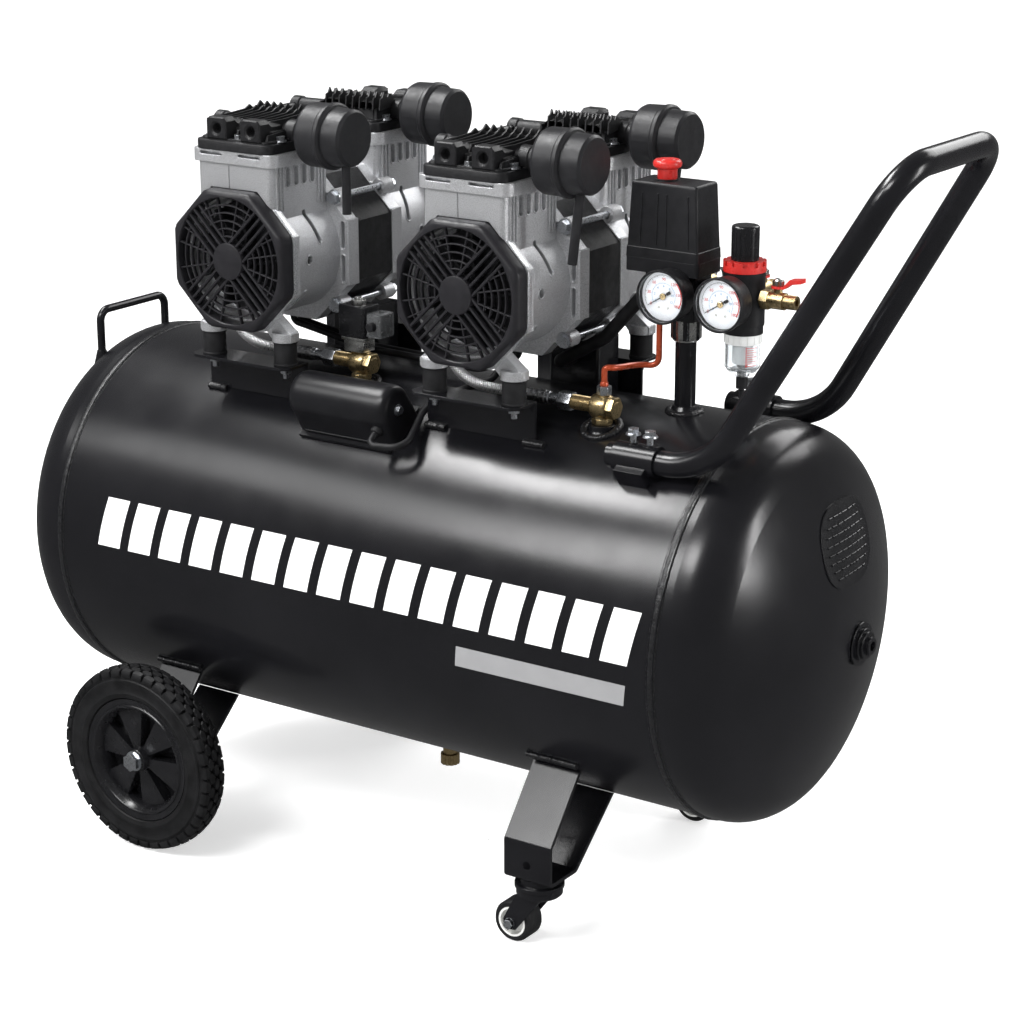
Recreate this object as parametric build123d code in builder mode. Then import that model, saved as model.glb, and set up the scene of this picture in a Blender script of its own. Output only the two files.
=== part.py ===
from build123d import *
from math import atan2, cos, degrees, hypot, pi, radians, sin, sqrt, tan
import os

os.makedirs("parts", exist_ok=True)

# Twin-pump oil-free air compressor on a 100 litre horizontal tank. Millimetres, +Z up.
# The origin is under the middle of the whole machine. +X runs along the tank towards the
# pull handle. The fans' front covers face -Y.

# ---- tank ----
TANK_X = -48.2          # middle of the tank along X
TANK_Z = 305.4          # height of the tank's axis
TANK_R = 192.5
SHELL_L = 714.0         # rolled shell between the two seams
SKIRT = 12.0            # straight lip of a dished end
DISH = 83.0             # depth of the dish beyond the lip
KNUCKLE = 52.0
WALL = 3.0
GAP = 0.3               # air left between curved faces
CROWN = (DISH**2 - KNUCKLE**2 + (TANK_R - KNUCKLE) ** 2) / (2 * (DISH - KNUCKLE))

# ---- running gear ----
WHEEL_X = TANK_X - 238.0
WHEEL_R = 99.0
WHEEL_Y = 209.5         # middle of a main wheel
WHEEL_W = 30.0
RIM_R = 66.0
AXLE_R = 6.0
CASTER_X = TANK_X + 225.0
CASTER_Y = 170.0
CASTER_TRAIL = 24.0
CASTER_R = 20.7
CASTER_W = 24.0
BRACKET_W = 52.0
BRACKET_T = 4.0
BRACKET_Y = 190.0       # upright face of an axle bracket
RUN = 0.05              # radial clearance of a running fit

# ---- pumps ----
PUMP_X = (TANK_X - 160.4, TANK_X + 111.9)
MOTOR_Z = 615.1
FLANGE_Z = 512.0        # top of the angle brackets that carry the pumps
FOOT_X = 45.5
FOOT_Y = 113.5
FOOT_H = 24.0
CYL_Y = 85.0            # middle of a cylinder, in front of and behind the motor
CYL_R = 32.0
STROKE = 16.0
OCT = 138.0             # fan cover, across its flats
STATOR = 144.0          # motor stack, across its flats
STATOR_L = 56.0
SHAFT_R = 8.5
TIE = (56.0, 54.5)      # tie bolts, from the motor's axis
HEAD_Z = 721.5          # underside of a cylinder head
FILTER_Z = 738.0
FILTER_X = 50.0         # where a filter meets its head, from the motor's axis
HEAD_PLATE = 10.0
HEAD_BOLTS = [(2, -122), (2, -48), (41, -108), (41, -62), (-41, -112), (-41, -84)]
OUTLET_X = -70.0        # link pipe and hose beside a pump
OUTLET_Y = 61.0
OUTLET_Z = 122.9
COVER_D = 17.5          # depth of a fan cover
ROTOR_R = 33.0
PISTON_TOP = 97.0       # middle of the stroke

# ---- air controls ----
PIPE_X = TANK_X + 275.0
PIPE_TOP = 568.0
MANIFOLD_Z = 616.0
REG_X = TANK_X + 335.5
GAUGE_Y = -50.0         # front of the gauges
GAUGE_BACK = 26.0       # back of the gauges
GAUGE_R = 25.5
NEEDLE_REST = 211       # pointer's direction at zero pressure, seen from the front
REG_R = 19.5
BOWL_TOP = 582.0
OUTLET_R = 6.5          # hose end of an outlet valve
KNOB_STEM = 9.5
SWITCH_X = TANK_X + 261.0
SWITCH_Y = -2.5
SWITCH_Z = (632.0, 645.0, 716.0)
KNOB_X = TANK_X + 253.0
CHECK = ((TANK_X - 62.0, -60.0, 511.0), (TANK_X + 222.0, -62.0, 508.0))

CAP_TURN = radians(34)  # lean of the capacitor cover from upright
REAR_BOX_Y = 67.0
REAR_BOX_TOP = 540.0

# ---- handles ----
HANDLE_R = 12.0
HANDLE_Y = 110.5
HANDLE_Z = 479.5
CLAMP_X = (TANK_X + 270.0, TANK_X + 314.0)
CLAMP_R = 14.8
CLAMP_TOP = 495.0       # flat under the pinch bolts
CLAMP_BOLT_TOP = 502.0  # underside of their flanges
CLAMP_BOLTS = (TANK_X + 286.0, TANK_X + 304.0)


def save(piece, name):
    """Name a finished piece and write its STEP file."""
    piece.label = name
    export_step(piece, "parts/" + name + ".step")


def tank_profile(grow, start):
    """Half outline of one dished end, from x = start out to the crown, grown by `grow`."""
    radius = TANK_R + grow
    knuckle = KNUCKLE + grow
    crown = CROWN + grow
    lip = SHELL_L / 2 + SKIRT
    crown_x = lip + DISH - CROWN
    turn = atan2(TANK_R - KNUCKLE, lip - crown_x)
    join = (crown_x + crown * cos(turn), crown * sin(turn))
    half = (turn + pi / 2) / 2
    bend = (lip + knuckle * cos(half), TANK_R - KNUCKLE + knuckle * sin(half))
    middle = (crown_x + crown * cos(turn / 2), crown * sin(turn / 2))
    Polyline((start, 0), (start, radius), (lip, radius))
    ThreePointArc((lip, radius), bend, join)
    ThreePointArc(join, middle, (crown_x + crown, 0))
    Line((crown_x + crown, 0), (start, 0))


def round_bar(x, y, z, radius, length, direction):
    """A plain round bar from (x, y, z) along `direction`."""
    return Solid.make_cylinder(radius, length, Plane((x, y, z), z_dir=direction))


def hex_bar(x, y, z, flats, length, direction):
    """A hexagonal bar, `flats` across, from (x, y, z) along `direction`."""
    plane = Plane((x, y, z), z_dir=direction)
    with BuildPart(mode=Mode.PRIVATE) as bar:
        with BuildSketch(plane):
            RegularPolygon(flats / 2, 6, major_radius=False)
        extrude(amount=length)
    return bar.part


def flange_bolt(x, y, z, shank, length, direction=(0, 0, -1)):
    """Hex bolt with a round flange; (x, y, z) is under the flange, the shank goes along direction."""
    back = tuple(-v for v in direction)
    plane = Plane((x, y, z), z_dir=back)
    with BuildPart(mode=Mode.PRIVATE) as bolt:
        with BuildSketch(plane):
            Circle(shank * 2.4)
        extrude(amount=1.5, taper=18)
        with BuildSketch(plane.offset(1.2)):
            RegularPolygon(shank * 1.6, 6, major_radius=False)
        extrude(amount=shank * 1.5)
        with BuildSketch(plane):
            Circle(shank)
        extrude(amount=-length)
    return bolt.part


def octagon(flats):
    """Regular octagon with level sides, `flats` across."""
    RegularPolygon(flats / 2, 8, major_radius=False, rotation=22.5)


def bend_radii(points, largest):
    """One bend radius per inner corner, from the shorter run and half the turn there."""
    radii = []
    for before, here, after in zip(points, points[1:], points[2:]):
        run_in = Vector(*here) - Vector(*before)
        run_out = Vector(*after) - Vector(*here)
        half = radians(run_in.get_angle(run_out)) / 2
        shorter = min(run_in.length, run_out.length)
        radii.append(min(largest, 0.45 * shorter / tan(half)))
    return radii


def route(points, radii, radius):
    """A round tube along straight runs joined by tangent arcs."""
    with BuildPart(mode=Mode.PRIVATE) as tube:
        with BuildLine():
            path = FilletPolyline(*points, radius=radii)
        with BuildSketch(Plane(path @ 0, z_dir=path % 0)):
            Circle(radius)
        sweep()
    return tube.part


# Solid outline of the tank, a hair larger, used to trim what is welded to it.
with BuildPart() as tank_envelope:
    with BuildSketch(Plane.XZ) as half_outline:
        with BuildLine():
            tank_profile(GAP, 0)
        make_face()
    revolve(axis=Axis.X)
    mirror(about=Plane.YZ)
ENVELOPE = tank_envelope.part.moved(Location((TANK_X, 0, TANK_Z)))


# =============================== tank ===============================
with BuildPart() as tank_shell:
    with BuildSketch(Plane.YZ.offset(TANK_X - SHELL_L / 2)):
        with Locations((0, TANK_Z)):
            Circle(TANK_R)
            Circle(TANK_R - WALL, mode=Mode.SUBTRACT)
    extrude(amount=SHELL_L)
save(tank_shell.part, "tank_shell")

with BuildPart() as one_end:
    with BuildSketch(Plane.XZ):
        with BuildLine():
            tank_profile(0, SHELL_L / 2)
        make_face()
        with BuildLine():
            tank_profile(-WALL, SHELL_L / 2)
        make_face(mode=Mode.SUBTRACT)
    revolve(axis=Axis.X)

with BuildPart() as tank_ends:
    with Locations((TANK_X, 0, TANK_Z)):
        add(one_end.part)
        add(one_end.part.mirror(Plane.YZ))
save(tank_ends.part, "tank_ends")

PLUG_AT = (TANK_X + 450.2, 34.0, 290.0)
# Hexagon-socket plug in the boss on the +X end.
with BuildPart() as end_plug:
    with BuildSketch(Plane(PLUG_AT, z_dir=(1, 0, 0)).offset(4)):
        Circle(9)
    extrude(amount=10)
    chamfer(end_plug.edges().group_by(Axis.X)[-1], 0.8)
    with BuildSketch(Plane(PLUG_AT, z_dir=(1, 0, 0)).offset(14)):
        RegularPolygon(4.5, 6, major_radius=False)
    extrude(amount=-5, mode=Mode.SUBTRACT)
# Seam beads, the bosses welded to the tank, and the stand pipe that carries the air controls.
SEAM_W = 7.0
BOSS_R = 13.0
DRAIN_TOP = TANK_Z - TANK_R
with BuildPart() as tank_fittings:
    for side in (-1, 1):
        with BuildSketch(Plane.YZ.offset(TANK_X + side * SHELL_L / 2 - SEAM_W / 2)):
            with Locations((0, TANK_Z)):
                Circle(TANK_R + 1.5)
                Circle(TANK_R + GAP, mode=Mode.SUBTRACT)
        extrude(amount=SEAM_W)
    for x, y, z in CHECK:
        with BuildSketch(Plane.XY.offset(z - 17)):
            with Locations((x, y)):
                Circle(BOSS_R)
        extrude(amount=-30)
        with BuildSketch(Plane.XY.offset(z - 22)):
            with Locations((x, y)):
                Circle(BOSS_R)
        extrude(amount=-16, taper=-28)
    with BuildSketch(Plane.XY.offset(PIPE_TOP)):
        with Locations((PIPE_X, 0)):
            Circle(10)
    extrude(amount=-80)
    with BuildSketch(Plane.XY.offset(TANK_Z + TANK_R + 6)):
        with Locations((PIPE_X, 0)):
            Circle(11)
    extrude(amount=-10, taper=-30)
    with BuildSketch(Plane.XY.offset(DRAIN_TOP - 10)):
        with Locations((TANK_X, 0)):
            Circle(14)
    extrude(amount=20)
    for reach, radius in ((3.5, 21), (7, 15.5), (10, 13)):
        with BuildSketch(Plane(PLUG_AT, z_dir=(1, 0, 0)).offset(reach)):
            Circle(radius)
        extrude(amount=-30)
    add(ENVELOPE, mode=Mode.SUBTRACT)
    with BuildSketch(Plane(PLUG_AT, z_dir=(1, 0, 0)).offset(10)):
        Circle(9.2)
    extrude(amount=-6, mode=Mode.SUBTRACT)
    with BuildSketch(Plane.XY.offset(PIPE_TOP)):
        with Locations((PIPE_X, 0)):
            Circle(7)
    extrude(amount=-60, mode=Mode.SUBTRACT)
    add(end_plug.part)
    # lock nut on top of the stand pipe
    add(hex_bar(PIPE_X, 0, PIPE_TOP + GAP, 25, 20 - GAP, (0, 0, 1)))
save(tank_fittings.part, "tank_fittings")

# Water drain under the tank: a brass body with a turning knob.
DRAIN_BODY = 16.0
DRAIN_KNOB = 11.0
drain_z = DRAIN_TOP - 10
with BuildPart() as drain_valve:
    add(hex_bar(TANK_X, 0, drain_z, 19, 7, (0, 0, -1)))
    with BuildSketch(Plane.XY.offset(drain_z - 7)):
        with Locations((TANK_X, 0)):
            Circle(7.5)
    extrude(amount=-(DRAIN_BODY - 7))
save(drain_valve.part, "drain_valve")

with BuildPart() as drain_tap:
    with BuildSketch(Plane.XY.offset(drain_z - DRAIN_BODY - GAP)):
        with Locations((TANK_X, 0)):
            Circle(10)
    extrude(amount=-DRAIN_KNOB)
    with BuildSketch(Plane.XY.offset(drain_z - DRAIN_BODY - GAP)):
        with Locations((TANK_X, 0)):
            with PolarLocations(10.4, 12):
                Circle(1.2)
    extrude(amount=-DRAIN_KNOB, mode=Mode.SUBTRACT)
save(drain_tap.part, "drain_tap")


# =========================== axle brackets ===========================
# One folded strap: leg up to the tank, foot, upright face with the axle hole, slanted leg.
def folded_strap(x, lift, hole):
    """Folded strap under the front (-Y) side of the tank, `lift` above the lowest setting."""
    with BuildPart(mode=Mode.PRIVATE) as strap:
        with BuildSketch(Plane.YZ.offset(x - BRACKET_W / 2)):
            with BuildLine():
                FilletPolyline(
                    (-52, 156 + lift),
                    (-146, 73.5 + lift),
                    (-BRACKET_Y, 73.5 + lift),
                    (-BRACKET_Y, 111 + lift),
                    (-120, 198.5 + lift),
                    radius=4,
                )
            trace(line_width=BRACKET_T)
        extrude(amount=BRACKET_W)
        add(ENVELOPE, mode=Mode.SUBTRACT)
        with BuildSketch(Plane.XZ.offset(BRACKET_Y + 5)):
            with Locations((x, 89 + lift)):
                Circle(hole)
        extrude(amount=-10, mode=Mode.SUBTRACT)
    return strap.part


wheel_strap = folded_strap(WHEEL_X, WHEEL_R - 89, AXLE_R + 0.1)
caster_strap = folded_strap(CASTER_X, 0, 4.3)
with BuildPart() as axle_brackets:
    for strap in (wheel_strap, caster_strap):
        add(strap)
        add(strap.mirror(Plane.XZ))
save(axle_brackets.part, "axle_brackets")

# Angle brackets along the tank that carry the pumps' rubber feet.
ANGLE_L = 124.0
ANGLE_T = 3.0
with BuildPart() as front_angles:
    for px in PUMP_X:
        with BuildSketch(Plane.XY.offset(FLANGE_Z)):
            with Locations((px - 4, -112)):
                Rectangle(ANGLE_L, 36)
        extrude(amount=-ANGLE_T)
        with BuildSketch(Plane.XZ.offset(94)):
            with Locations((px - 4, FLANGE_Z - 25)):
                Rectangle(ANGLE_L, 50)
        extrude(amount=ANGLE_T)
    chamfer(front_angles.edges().filter_by(Axis.Z).group_by(Axis.Y)[0], 7)
    with BuildSketch(Plane.XY.offset(FLANGE_Z)):
        for px in PUMP_X:
            with Locations((px - FOOT_X, -FOOT_Y), (px + FOOT_X, -FOOT_Y)):
                Circle(3.3)
    extrude(amount=-ANGLE_T, mode=Mode.SUBTRACT)
    add(ENVELOPE, mode=Mode.SUBTRACT)

with BuildPart() as pump_brackets:
    add(front_angles.part)
    add(front_angles.part.mirror(Plane.XZ))
save(pump_brackets.part, "pump_brackets")


# ============================= handles =============================
# Clamps welded to the tank hold the ends of the pull handle.
with BuildPart() as front_clamp:
    with BuildSketch(Plane.YZ.offset(CLAMP_X[0])):
        with Locations((-HANDLE_Y, HANDLE_Z)):
            Circle(CLAMP_R)
    extrude(amount=CLAMP_X[1] - CLAMP_X[0])
    with BuildSketch(Plane.YZ.offset(CLAMP_X[0] + 7)):
        with Locations((-HANDLE_Y - 9, HANDLE_Z - 14)):
            Rectangle(12, 22, rotation=33)
    extrude(amount=CLAMP_X[1] - CLAMP_X[0] - 14)
    with BuildSketch(Plane.XY.offset(HANDLE_Z)):
        with Locations(*[(x, -HANDLE_Y) for x in CLAMP_BOLTS]):
            Circle(5)
    extrude(amount=CLAMP_TOP - HANDLE_Z)
    with BuildSketch(Plane.YZ.offset(CLAMP_X[0])):
        with Locations((-HANDLE_Y, HANDLE_Z)):
            Circle(HANDLE_R + GAP)
    extrude(amount=CLAMP_X[1] - CLAMP_X[0], mode=Mode.SUBTRACT)
    with BuildSketch(Plane.XY.offset(HANDLE_Z)):
        with Locations(*[(x, -HANDLE_Y) for x in CLAMP_BOLTS]):
            Circle(3.3)
    extrude(amount=CLAMP_TOP - HANDLE_Z, mode=Mode.SUBTRACT)
    add(ENVELOPE, mode=Mode.SUBTRACT)

with BuildPart() as handle_sockets:
    add(front_clamp.part)
    add(front_clamp.part.mirror(Plane.XZ))
save(handle_sockets.part, "handle_sockets")

# Pull handle: one bent steel tube.
HANDLE_FOOT_X = TANK_X + 262.0
HANDLE_KNEE_X = TANK_X + 365.0
GRIP_X = TANK_X + 536.0
GRIP_Y = 92.0
GRIP_Z = 766.0
with BuildPart() as pull_handle:
    with BuildLine():
        handle_path = FilletPolyline(
            (HANDLE_FOOT_X, -HANDLE_Y, HANDLE_Z),
            (HANDLE_KNEE_X, -HANDLE_Y, HANDLE_Z),
            (GRIP_X, -GRIP_Y, GRIP_Z),
            (GRIP_X, GRIP_Y, GRIP_Z),
            (HANDLE_KNEE_X, HANDLE_Y, HANDLE_Z),
            (HANDLE_FOOT_X, HANDLE_Y, HANDLE_Z),
            radius=[75, 42, 42, 75],
        )
    with BuildSketch(Plane(handle_path @ 0, z_dir=handle_path % 0)):
        Circle(HANDLE_R)
        Circle(HANDLE_R - 1.5, mode=Mode.SUBTRACT)
    sweep()
save(pull_handle.part, "pull_handle")

# Grab handle: bent rod welded across the -X end.
GRAB_X = TANK_X - 410.0
GRAB_Y = -10.0
GRAB_HALF = 51.0
GRAB_TOP = 519.0
with BuildPart() as grab_handle:
    add(
        route(
            [
                (GRAB_X, GRAB_Y - GRAB_HALF, 452),
                (GRAB_X, GRAB_Y - GRAB_HALF, GRAB_TOP),
                (GRAB_X, GRAB_Y + GRAB_HALF, GRAB_TOP),
                (GRAB_X, GRAB_Y + GRAB_HALF, 452),
            ],
            [12, 12],
            4.2,
        )
    )
    with BuildSketch(Plane.XY.offset(476)):
        with Locations((GRAB_X, GRAB_Y - GRAB_HALF), (GRAB_X, GRAB_Y + GRAB_HALF)):
            Circle(5)
    extrude(amount=-16, taper=-14)
    add(ENVELOPE, mode=Mode.SUBTRACT)
save(grab_handle.part, "grab_handle")


# ========================= wheels and casters =========================
# A main wheel: plastic rim with six windows, rubber tyre, plain bore.
def wheel_rim():
    """Rim of a front-side wheel about its own centre, axle along Y, hub face at -Y."""
    with BuildPart(mode=Mode.PRIVATE) as rim:
        with BuildSketch(Plane.XZ):
            with BuildLine():
                Polyline(
                    (AXLE_R + RUN, -14.6),
                    (17, -14.6),
                    (18, -3),
                    (54, -3),
                    (57, -12.5),
                    (RIM_R, -12.5),
                    (RIM_R, 12.5),
                    (57, 12.5),
                    (54, 3),
                    (18, 3),
                    (17, 13.2),
                    (AXLE_R + RUN, 13.2),
                    (AXLE_R + RUN, -14.6),
                )
            make_face()
        revolve(axis=Axis.Z)
        with BuildSketch(Plane.XY.offset(-5)):
            with PolarLocations(0, 6):
                Polygon((24, -6.5), (46, -16.5), (50, -9), (51, 9), (46, 16.5), (24, 6.5), align=None)
        extrude(amount=10, mode=Mode.SUBTRACT)
    return rim.part.rotate(Axis.X, 90)


def wheel_tyre():
    """Tyre about its own centre, axle along Y."""
    half = WHEEL_W / 2
    with BuildPart(mode=Mode.PRIVATE) as tyre:
        with BuildSketch(Plane.XZ):
            with BuildLine():
                Polyline((RIM_R + GAP, -12.5), (69, -half + 0.6), (88, -half))
                ThreePointArc((88, -half), (95, -half + 2), (97.5, -half + 5))
                ThreePointArc((97.5, -half + 5), (WHEEL_R, 0), (97.5, half - 5))
                ThreePointArc((97.5, half - 5), (95, half - 2), (88, half))
                Polyline((88, half), (69, half - 0.6), (RIM_R + GAP, 12.5), (RIM_R + GAP, -12.5))
            make_face()
        revolve(axis=Axis.Z)
    return tyre.part.rotate(Axis.X, 90)


rim_part = wheel_rim()
tyre_part = wheel_tyre()
for side, place in ((-1, "front"), (1, "rear")):
    with BuildPart() as rim_piece:
        with Locations((WHEEL_X, side * WHEEL_Y, WHEEL_R)):
            add(rim_part if side < 0 else rim_part.mirror(Plane.XZ))
    save(rim_piece.part, "wheel_rim_" + place)
    with BuildPart() as tyre_piece:
        with Locations((WHEEL_X, side * WHEEL_Y, WHEEL_R)):
            add(tyre_part)
    save(tyre_piece.part, "wheel_tyre_" + place)

# Axle bolts: hexagon head and washer outside the hub, shank through it, nut inside the strap.
HUB_FACE = WHEEL_Y + 14.6 + GAP
with BuildPart() as front_axle:
    add(round_bar(WHEEL_X, -HUB_FACE - 1.5, WHEEL_R, 10.5, 1.5, (0, 1, 0)))
    add(hex_bar(WHEEL_X, -HUB_FACE - 7.5, WHEEL_R, 16.5, 6, (0, 1, 0)))
    add(round_bar(WHEEL_X, -HUB_FACE, WHEEL_R, AXLE_R, HUB_FACE - 178, (0, 1, 0)))
    add(hex_bar(WHEEL_X, -BRACKET_Y + 2.1, WHEEL_R, 17, 8, (0, 1, 0)))
with BuildPart() as wheel_axles:
    add(front_axle.part)
    add(front_axle.part.mirror(Plane.XZ))
save(wheel_axles.part, "wheel_axles")

# Caster: fixed upper race with its kingpin, turning fork, wheel with rubber tyre.
RACE_TOP = 73.5 - BRACKET_T / 2
KINGPIN_R = 5.0
with BuildPart() as front_plate:
    with BuildSketch(Plane.XY.offset(RACE_TOP)):
        with Locations((CASTER_X, -CASTER_Y)):
            Circle(18)
    extrude(amount=-7, taper=-12)
    with BuildSketch(Plane.XY.offset(RACE_TOP - 6)):
        with Locations((CASTER_X, -CASTER_Y)):
            Circle(24)
    extrude(amount=-5)
    chamfer(front_plate.edges().group_by(Axis.Z)[0], 1)
    with BuildSketch(Plane.XY.offset(RACE_TOP - 11)):
        with Locations((CASTER_X, -CASTER_Y)):
            Circle(KINGPIN_R)
    extrude(amount=-12)
    with BuildSketch(Plane.XY.offset(RACE_TOP - 19.5)):
        with Locations((CASTER_X, -CASTER_Y)):
            Circle(8)
    extrude(amount=-3.5)
with BuildPart() as caster_plates:
    add(front_plate.part)
    add(front_plate.part.mirror(Plane.XZ))
save(caster_plates.part, "caster_plates")

FORK_TOP = RACE_TOP - 11 - GAP
FORK_HALF = CASTER_W / 2 + 0.6
WHEEL_AT = (CASTER_X - CASTER_TRAIL, CASTER_Y, CASTER_R)
with BuildPart() as front_fork:
    with BuildSketch(Plane.XY.offset(FORK_TOP)):
        with Locations((CASTER_X, -CASTER_Y)):
            Circle(22.5)
    extrude(amount=-7)
    chamfer(front_fork.edges().group_by(Axis.Z)[0], 1.5)
    with BuildSketch(Plane.XZ.offset(CASTER_Y - FORK_HALF - 2.5)):
        with BuildLine():
            Polyline(
                (CASTER_X + 12, FORK_TOP - 6),
                (CASTER_X - 16, FORK_TOP - 6),
                (WHEEL_AT[0] - 8, CASTER_R + 3),
                (WHEEL_AT[0] - 5, CASTER_R - 7),
                (WHEEL_AT[0] + 6, CASTER_R - 6),
                (CASTER_X + 12, FORK_TOP - 6),
            )
        make_face()
    extrude(amount=2 * FORK_HALF + 5)
    with BuildSketch(Plane.XZ.offset(CASTER_Y - FORK_HALF)):
        with Locations((CASTER_X - 12, CASTER_R + 3)):
            Rectangle(70, 2 * (FORK_TOP - 7 - CASTER_R - 3))
    extrude(amount=2 * FORK_HALF, mode=Mode.SUBTRACT)
    with BuildSketch(Plane.XY.offset(FORK_TOP)):
        with Locations((CASTER_X, -CASTER_Y)):
            Circle(KINGPIN_R + RUN)
    extrude(amount=-8, mode=Mode.SUBTRACT)
    # wheel bolt, riveted into both fork legs
    with BuildSketch(Plane.XZ.offset(CASTER_Y - FORK_HALF - 5)):
        with Locations((WHEEL_AT[0], CASTER_R)):
            Circle(3)
    extrude(amount=2 * FORK_HALF + 8)
    add(hex_bar(WHEEL_AT[0], -CASTER_Y - FORK_HALF - 2.5, CASTER_R, 10, 4, (0, -1, 0)))
    add(hex_bar(WHEEL_AT[0], -CASTER_Y + FORK_HALF + 2.5, CASTER_R, 9, 4, (0, 1, 0)))

with BuildPart() as front_core:
    with BuildSketch(Plane.XZ.offset(CASTER_Y - CASTER_W / 2)):
        with Locations((WHEEL_AT[0], CASTER_R)):
            Circle(15)
    extrude(amount=CASTER_W)
    with BuildSketch(Plane.XZ.offset(CASTER_Y - CASTER_W / 2)):
        with Locations((WHEEL_AT[0], CASTER_R)):
            Circle(12.8)
            Circle(7, mode=Mode.SUBTRACT)
    extrude(amount=7, mode=Mode.SUBTRACT)
    with BuildSketch(Plane.XZ.offset(CASTER_Y + CASTER_W / 2)):
        with Locations((WHEEL_AT[0], CASTER_R)):
            Circle(12.8)
            Circle(7, mode=Mode.SUBTRACT)
    extrude(amount=-7, mode=Mode.SUBTRACT)
    with BuildSketch(Plane.XZ.offset(CASTER_Y - CASTER_W / 2)):
        with Locations((WHEEL_AT[0], CASTER_R)):
            Circle(3 + RUN)
    extrude(amount=CASTER_W, mode=Mode.SUBTRACT)

with BuildPart() as front_caster_tyre:
    with BuildSketch(Plane.XZ.offset(CASTER_Y - CASTER_W / 2)):
        with Locations((WHEEL_AT[0], CASTER_R)):
            Circle(CASTER_R)
            Circle(15 + GAP / 2, mode=Mode.SUBTRACT)
    extrude(amount=CASTER_W)
    chamfer(
        front_caster_tyre.edges().filter_by(GeomType.CIRCLE).sort_by(SortBy.RADIUS)[-2:], 3, 2
    )

for name, piece in (("fork", front_fork), ("core", front_core), ("tyre", front_caster_tyre)):
    save(piece.part, "caster_" + name + "_front")
    with BuildPart() as mirrored:
        add(piece.part.mirror(Plane.XZ))
    save(mirrored.part, "caster_" + name + "_rear")


# =============================== pumps ===============================
def at_pumps(piece):
    """The piece, made for the motor axis at the origin, at both pumps; call inside a BuildPart."""
    with Locations(*[(px, 0, MOTOR_Z) for px in PUMP_X]):
        add(piece)


def both_sides(piece):
    """A front-side piece and its mirror image behind the motor, as one compound."""
    return Compound(children=[piece, piece.mirror(Plane.XZ)])


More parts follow.
